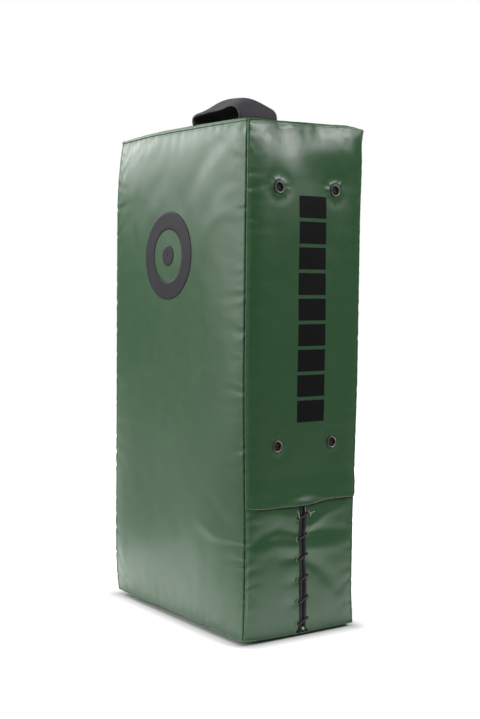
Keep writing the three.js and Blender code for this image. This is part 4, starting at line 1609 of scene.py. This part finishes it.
def strap_skin(name, face, height, width, thickness, span, rise, droop, route):
    """One strap with its two sewn ends."""
    half = span / 2
    seat = float(face_height(face, half, 0.0, height))
    foot_line = seat + FOOT + 2 * GAP
    path = strap_path(half, rise, route)
    ahead = unit(np.gradient(path, axis=0))
    travel = travelled(path)
    first = np.argmax(path[:, 1] > 0)
    last = len(path) - 1 - np.argmax(path[::-1, 1] > 0)
    share = np.clip((travel - travel[first]) / (travel[last] - travel[first]), 0, 1)
    arch = np.sin(math.pi * share) ** 2
    deep = (FOOT + (thickness - FOOT) * smooth(path[:, 1], 0.0, 0.008)) / 2
    ends = np.minimum(travel, travel[-1] - travel)
    deep = deep * np.sqrt(np.clip(ends / END_TAPER, 0.15, 1))
    lateral, level = strap_section(width, thickness)
    level = level * deep[:, None]
    along = path[:, :1] + ahead[:, 1:] * level
    up = path[:, 1:] - ahead[:, :1] * level
    up = up - np.where(lateral < 0, *droop) * arch[:, None] * (2 * lateral / width) ** 2
    rest = face_height(face, along, lateral, height) - seat
    up = foot_line + up + (1 - smooth(up, 0.0, 0.012)) * rest
    lateral, travel, along = np.broadcast_arrays(lateral, travel[:, None], along)
    faces = ring_faces(*along.shape, outward=False)
    if face == "top":
        faces = [f[::-1] for f in faces]
    piece = make_piece(f"{name}_strap", strap_place(face, height, along, lateral, up), faces,
                       strap_black, np.stack([lateral, travel], -1), body=None,
                       slot="strap_webbing")
    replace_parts(piece, name, f"{name}_right_foot", f"{name}_left_foot")
    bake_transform(piece)


for strap_name, strap_spec in STRAPS.items():
    strap_skin(strap_name, *strap_spec)


# Light, floor and world

LAMP_AWAY = 2.7
AIM = Vector((0, 0, 0.45))
# Azimuth and elevation as seen from the pad, width, height, watts
LAMPS = {
    "left_softbox": (-155, 27, 2.4, 1.35, 51),
    "front_softbox": (-120, 9, 1.0, 1.2, 13),
    "fill_softbox": (-93, 14, 1.2, 1.0, 20),
    "near_softbox": (-42, 48, 1.5, 0.8, 10),
    "right_softbox": (36, 33, 1.2, 0.8, 38),
}


def soft_light(name, azimuth, elevation, width, height, watts):
    data = bpy.data.lights.new(name, "AREA")
    data.shape = "RECTANGLE"
    data.size = width
    data.size_y = height
    data.energy = watts
    turn, rise = math.radians(azimuth), math.radians(elevation)
    toward = Vector((math.cos(turn) * math.cos(rise), math.sin(turn) * math.cos(rise),
                     math.sin(rise)))
    lamp = add_object(name, data)
    lamp.location = AIM + LAMP_AWAY * toward
    lamp.rotation_euler = (-toward).to_track_quat("-Z", "Y").to_euler()
    lamp.visible_camera = False


for lamp_name, lamp_spec in LAMPS.items():
    soft_light(lamp_name, *lamp_spec)


AIR = 0.05
AIR_IN_GLOSS = 0.14


def make_world():
    """Grey studio air for the light; the camera sees white."""
    world = bpy.data.worlds.new("studio")
    bpy.context.scene.world = world
    nodes = Nodes(world)
    path = nodes.add("ShaderNodeLightPath")
    level = grey(AIR)
    for ray, shown in (("Glossy", AIR_IN_GLOSS), ("Transmission", 1.0), ("Camera", 1.0)):
        level = nodes.mix(path.outputs[f"Is {ray} Ray"], level, grey(shown))
    nodes.put(nodes.tree.nodes["Background"].inputs["Color"], level)


make_world()

FLOOR_IN_GLOSS = 1.75
FLOOR_HALF = 9.0


def make_floor():
    """White paper: it keeps the contact shadow, and is white to the camera further out. In
    reflections it glows near the pad and is darker toward +X, as painted reflected light.
    """
    material = bpy.data.materials.new("studio_floor")
    nodes = Nodes(material)
    place = nodes.place()
    parts = nodes.add("ShaderNodeSeparateXYZ", {}, {"Vector": place})
    path = nodes.add("ShaderNodeLightPath")
    cloud = nodes.span(nodes.noise(place, 1.5, 2.0), 0.3, 0.7, 0, 1)
    # In reflections the paper is painted darker, more so toward +X.
    dimmed = nodes.span(parts.outputs["X"], -0.6, 0.2, 0.12, 0.7)
    in_gloss = nodes.math("MULTIPLY", path.outputs["Is Glossy Ray"], dimmed)
    paper = nodes.mix(cloud, grey(0.86), grey(0.88))
    outside = []
    for axis, half in (("X", HALF[0]), ("Y", HALF[1])):
        away = nodes.math("ABSOLUTE", parts.outputs[axis])
        away = nodes.math("MAXIMUM", nodes.math("SUBTRACT", away, float(half) - 0.006), 0.0)
        outside.append(nodes.math("MULTIPLY", away, away))
    away = nodes.math("SQRT", nodes.math("ADD", *outside))
    shows = nodes.math("MAXIMUM", path.outputs["Is Camera Ray"],
                       path.outputs["Is Transmission Ray"])
    white = nodes.math("MULTIPLY", nodes.span(away, 0.0, 0.035, 0.0, 1.0),
                       nodes.span(away, 0.2, 1.2, 0.75, 1.0))
    # Painted reflected light: in reflections the paper glows up to FLOOR_IN_GLOSS near the pad, a
    # little more toward -X, and fades further out.
    clear = nodes.math("MULTIPLY", nodes.span(away, 0.18, 0.5, 1.0, 0.06),
                       nodes.span(away, 0.0, 0.040, 0.0, FLOOR_IN_GLOSS))
    clear = nodes.math("MULTIPLY", clear, nodes.span(parts.outputs["X"], -0.3, 0.2, 1.18, 1.0))
    glow_in_gloss = nodes.math("MULTIPLY", path.outputs["Is Glossy Ray"], clear)
    nodes.shade({
        "Base Color": nodes.mix(in_gloss, paper, grey(0.1)),
        "Roughness": 0.9,
        "Specular IOR Level": 0.1,
        "Emission Color": grey(1.0),
        "Emission Strength": nodes.math("MAXIMUM", nodes.math("MULTIPLY", shows, white), glow_in_gloss),
    })
    corners = [(x * FLOOR_HALF, y * FLOOR_HALF, 0) for x, y in ((-1, -1), (1, -1), (1, 1), (-1, 1))]
    mesh = bpy.data.meshes.new("floor")
    mesh.from_pydata(corners, [], [(0, 1, 2, 3)])
    mesh.materials.append(material)
    add_object("floor", mesh)


make_floor()

scene = bpy.context.scene
scene.view_settings.view_transform = "Standard"
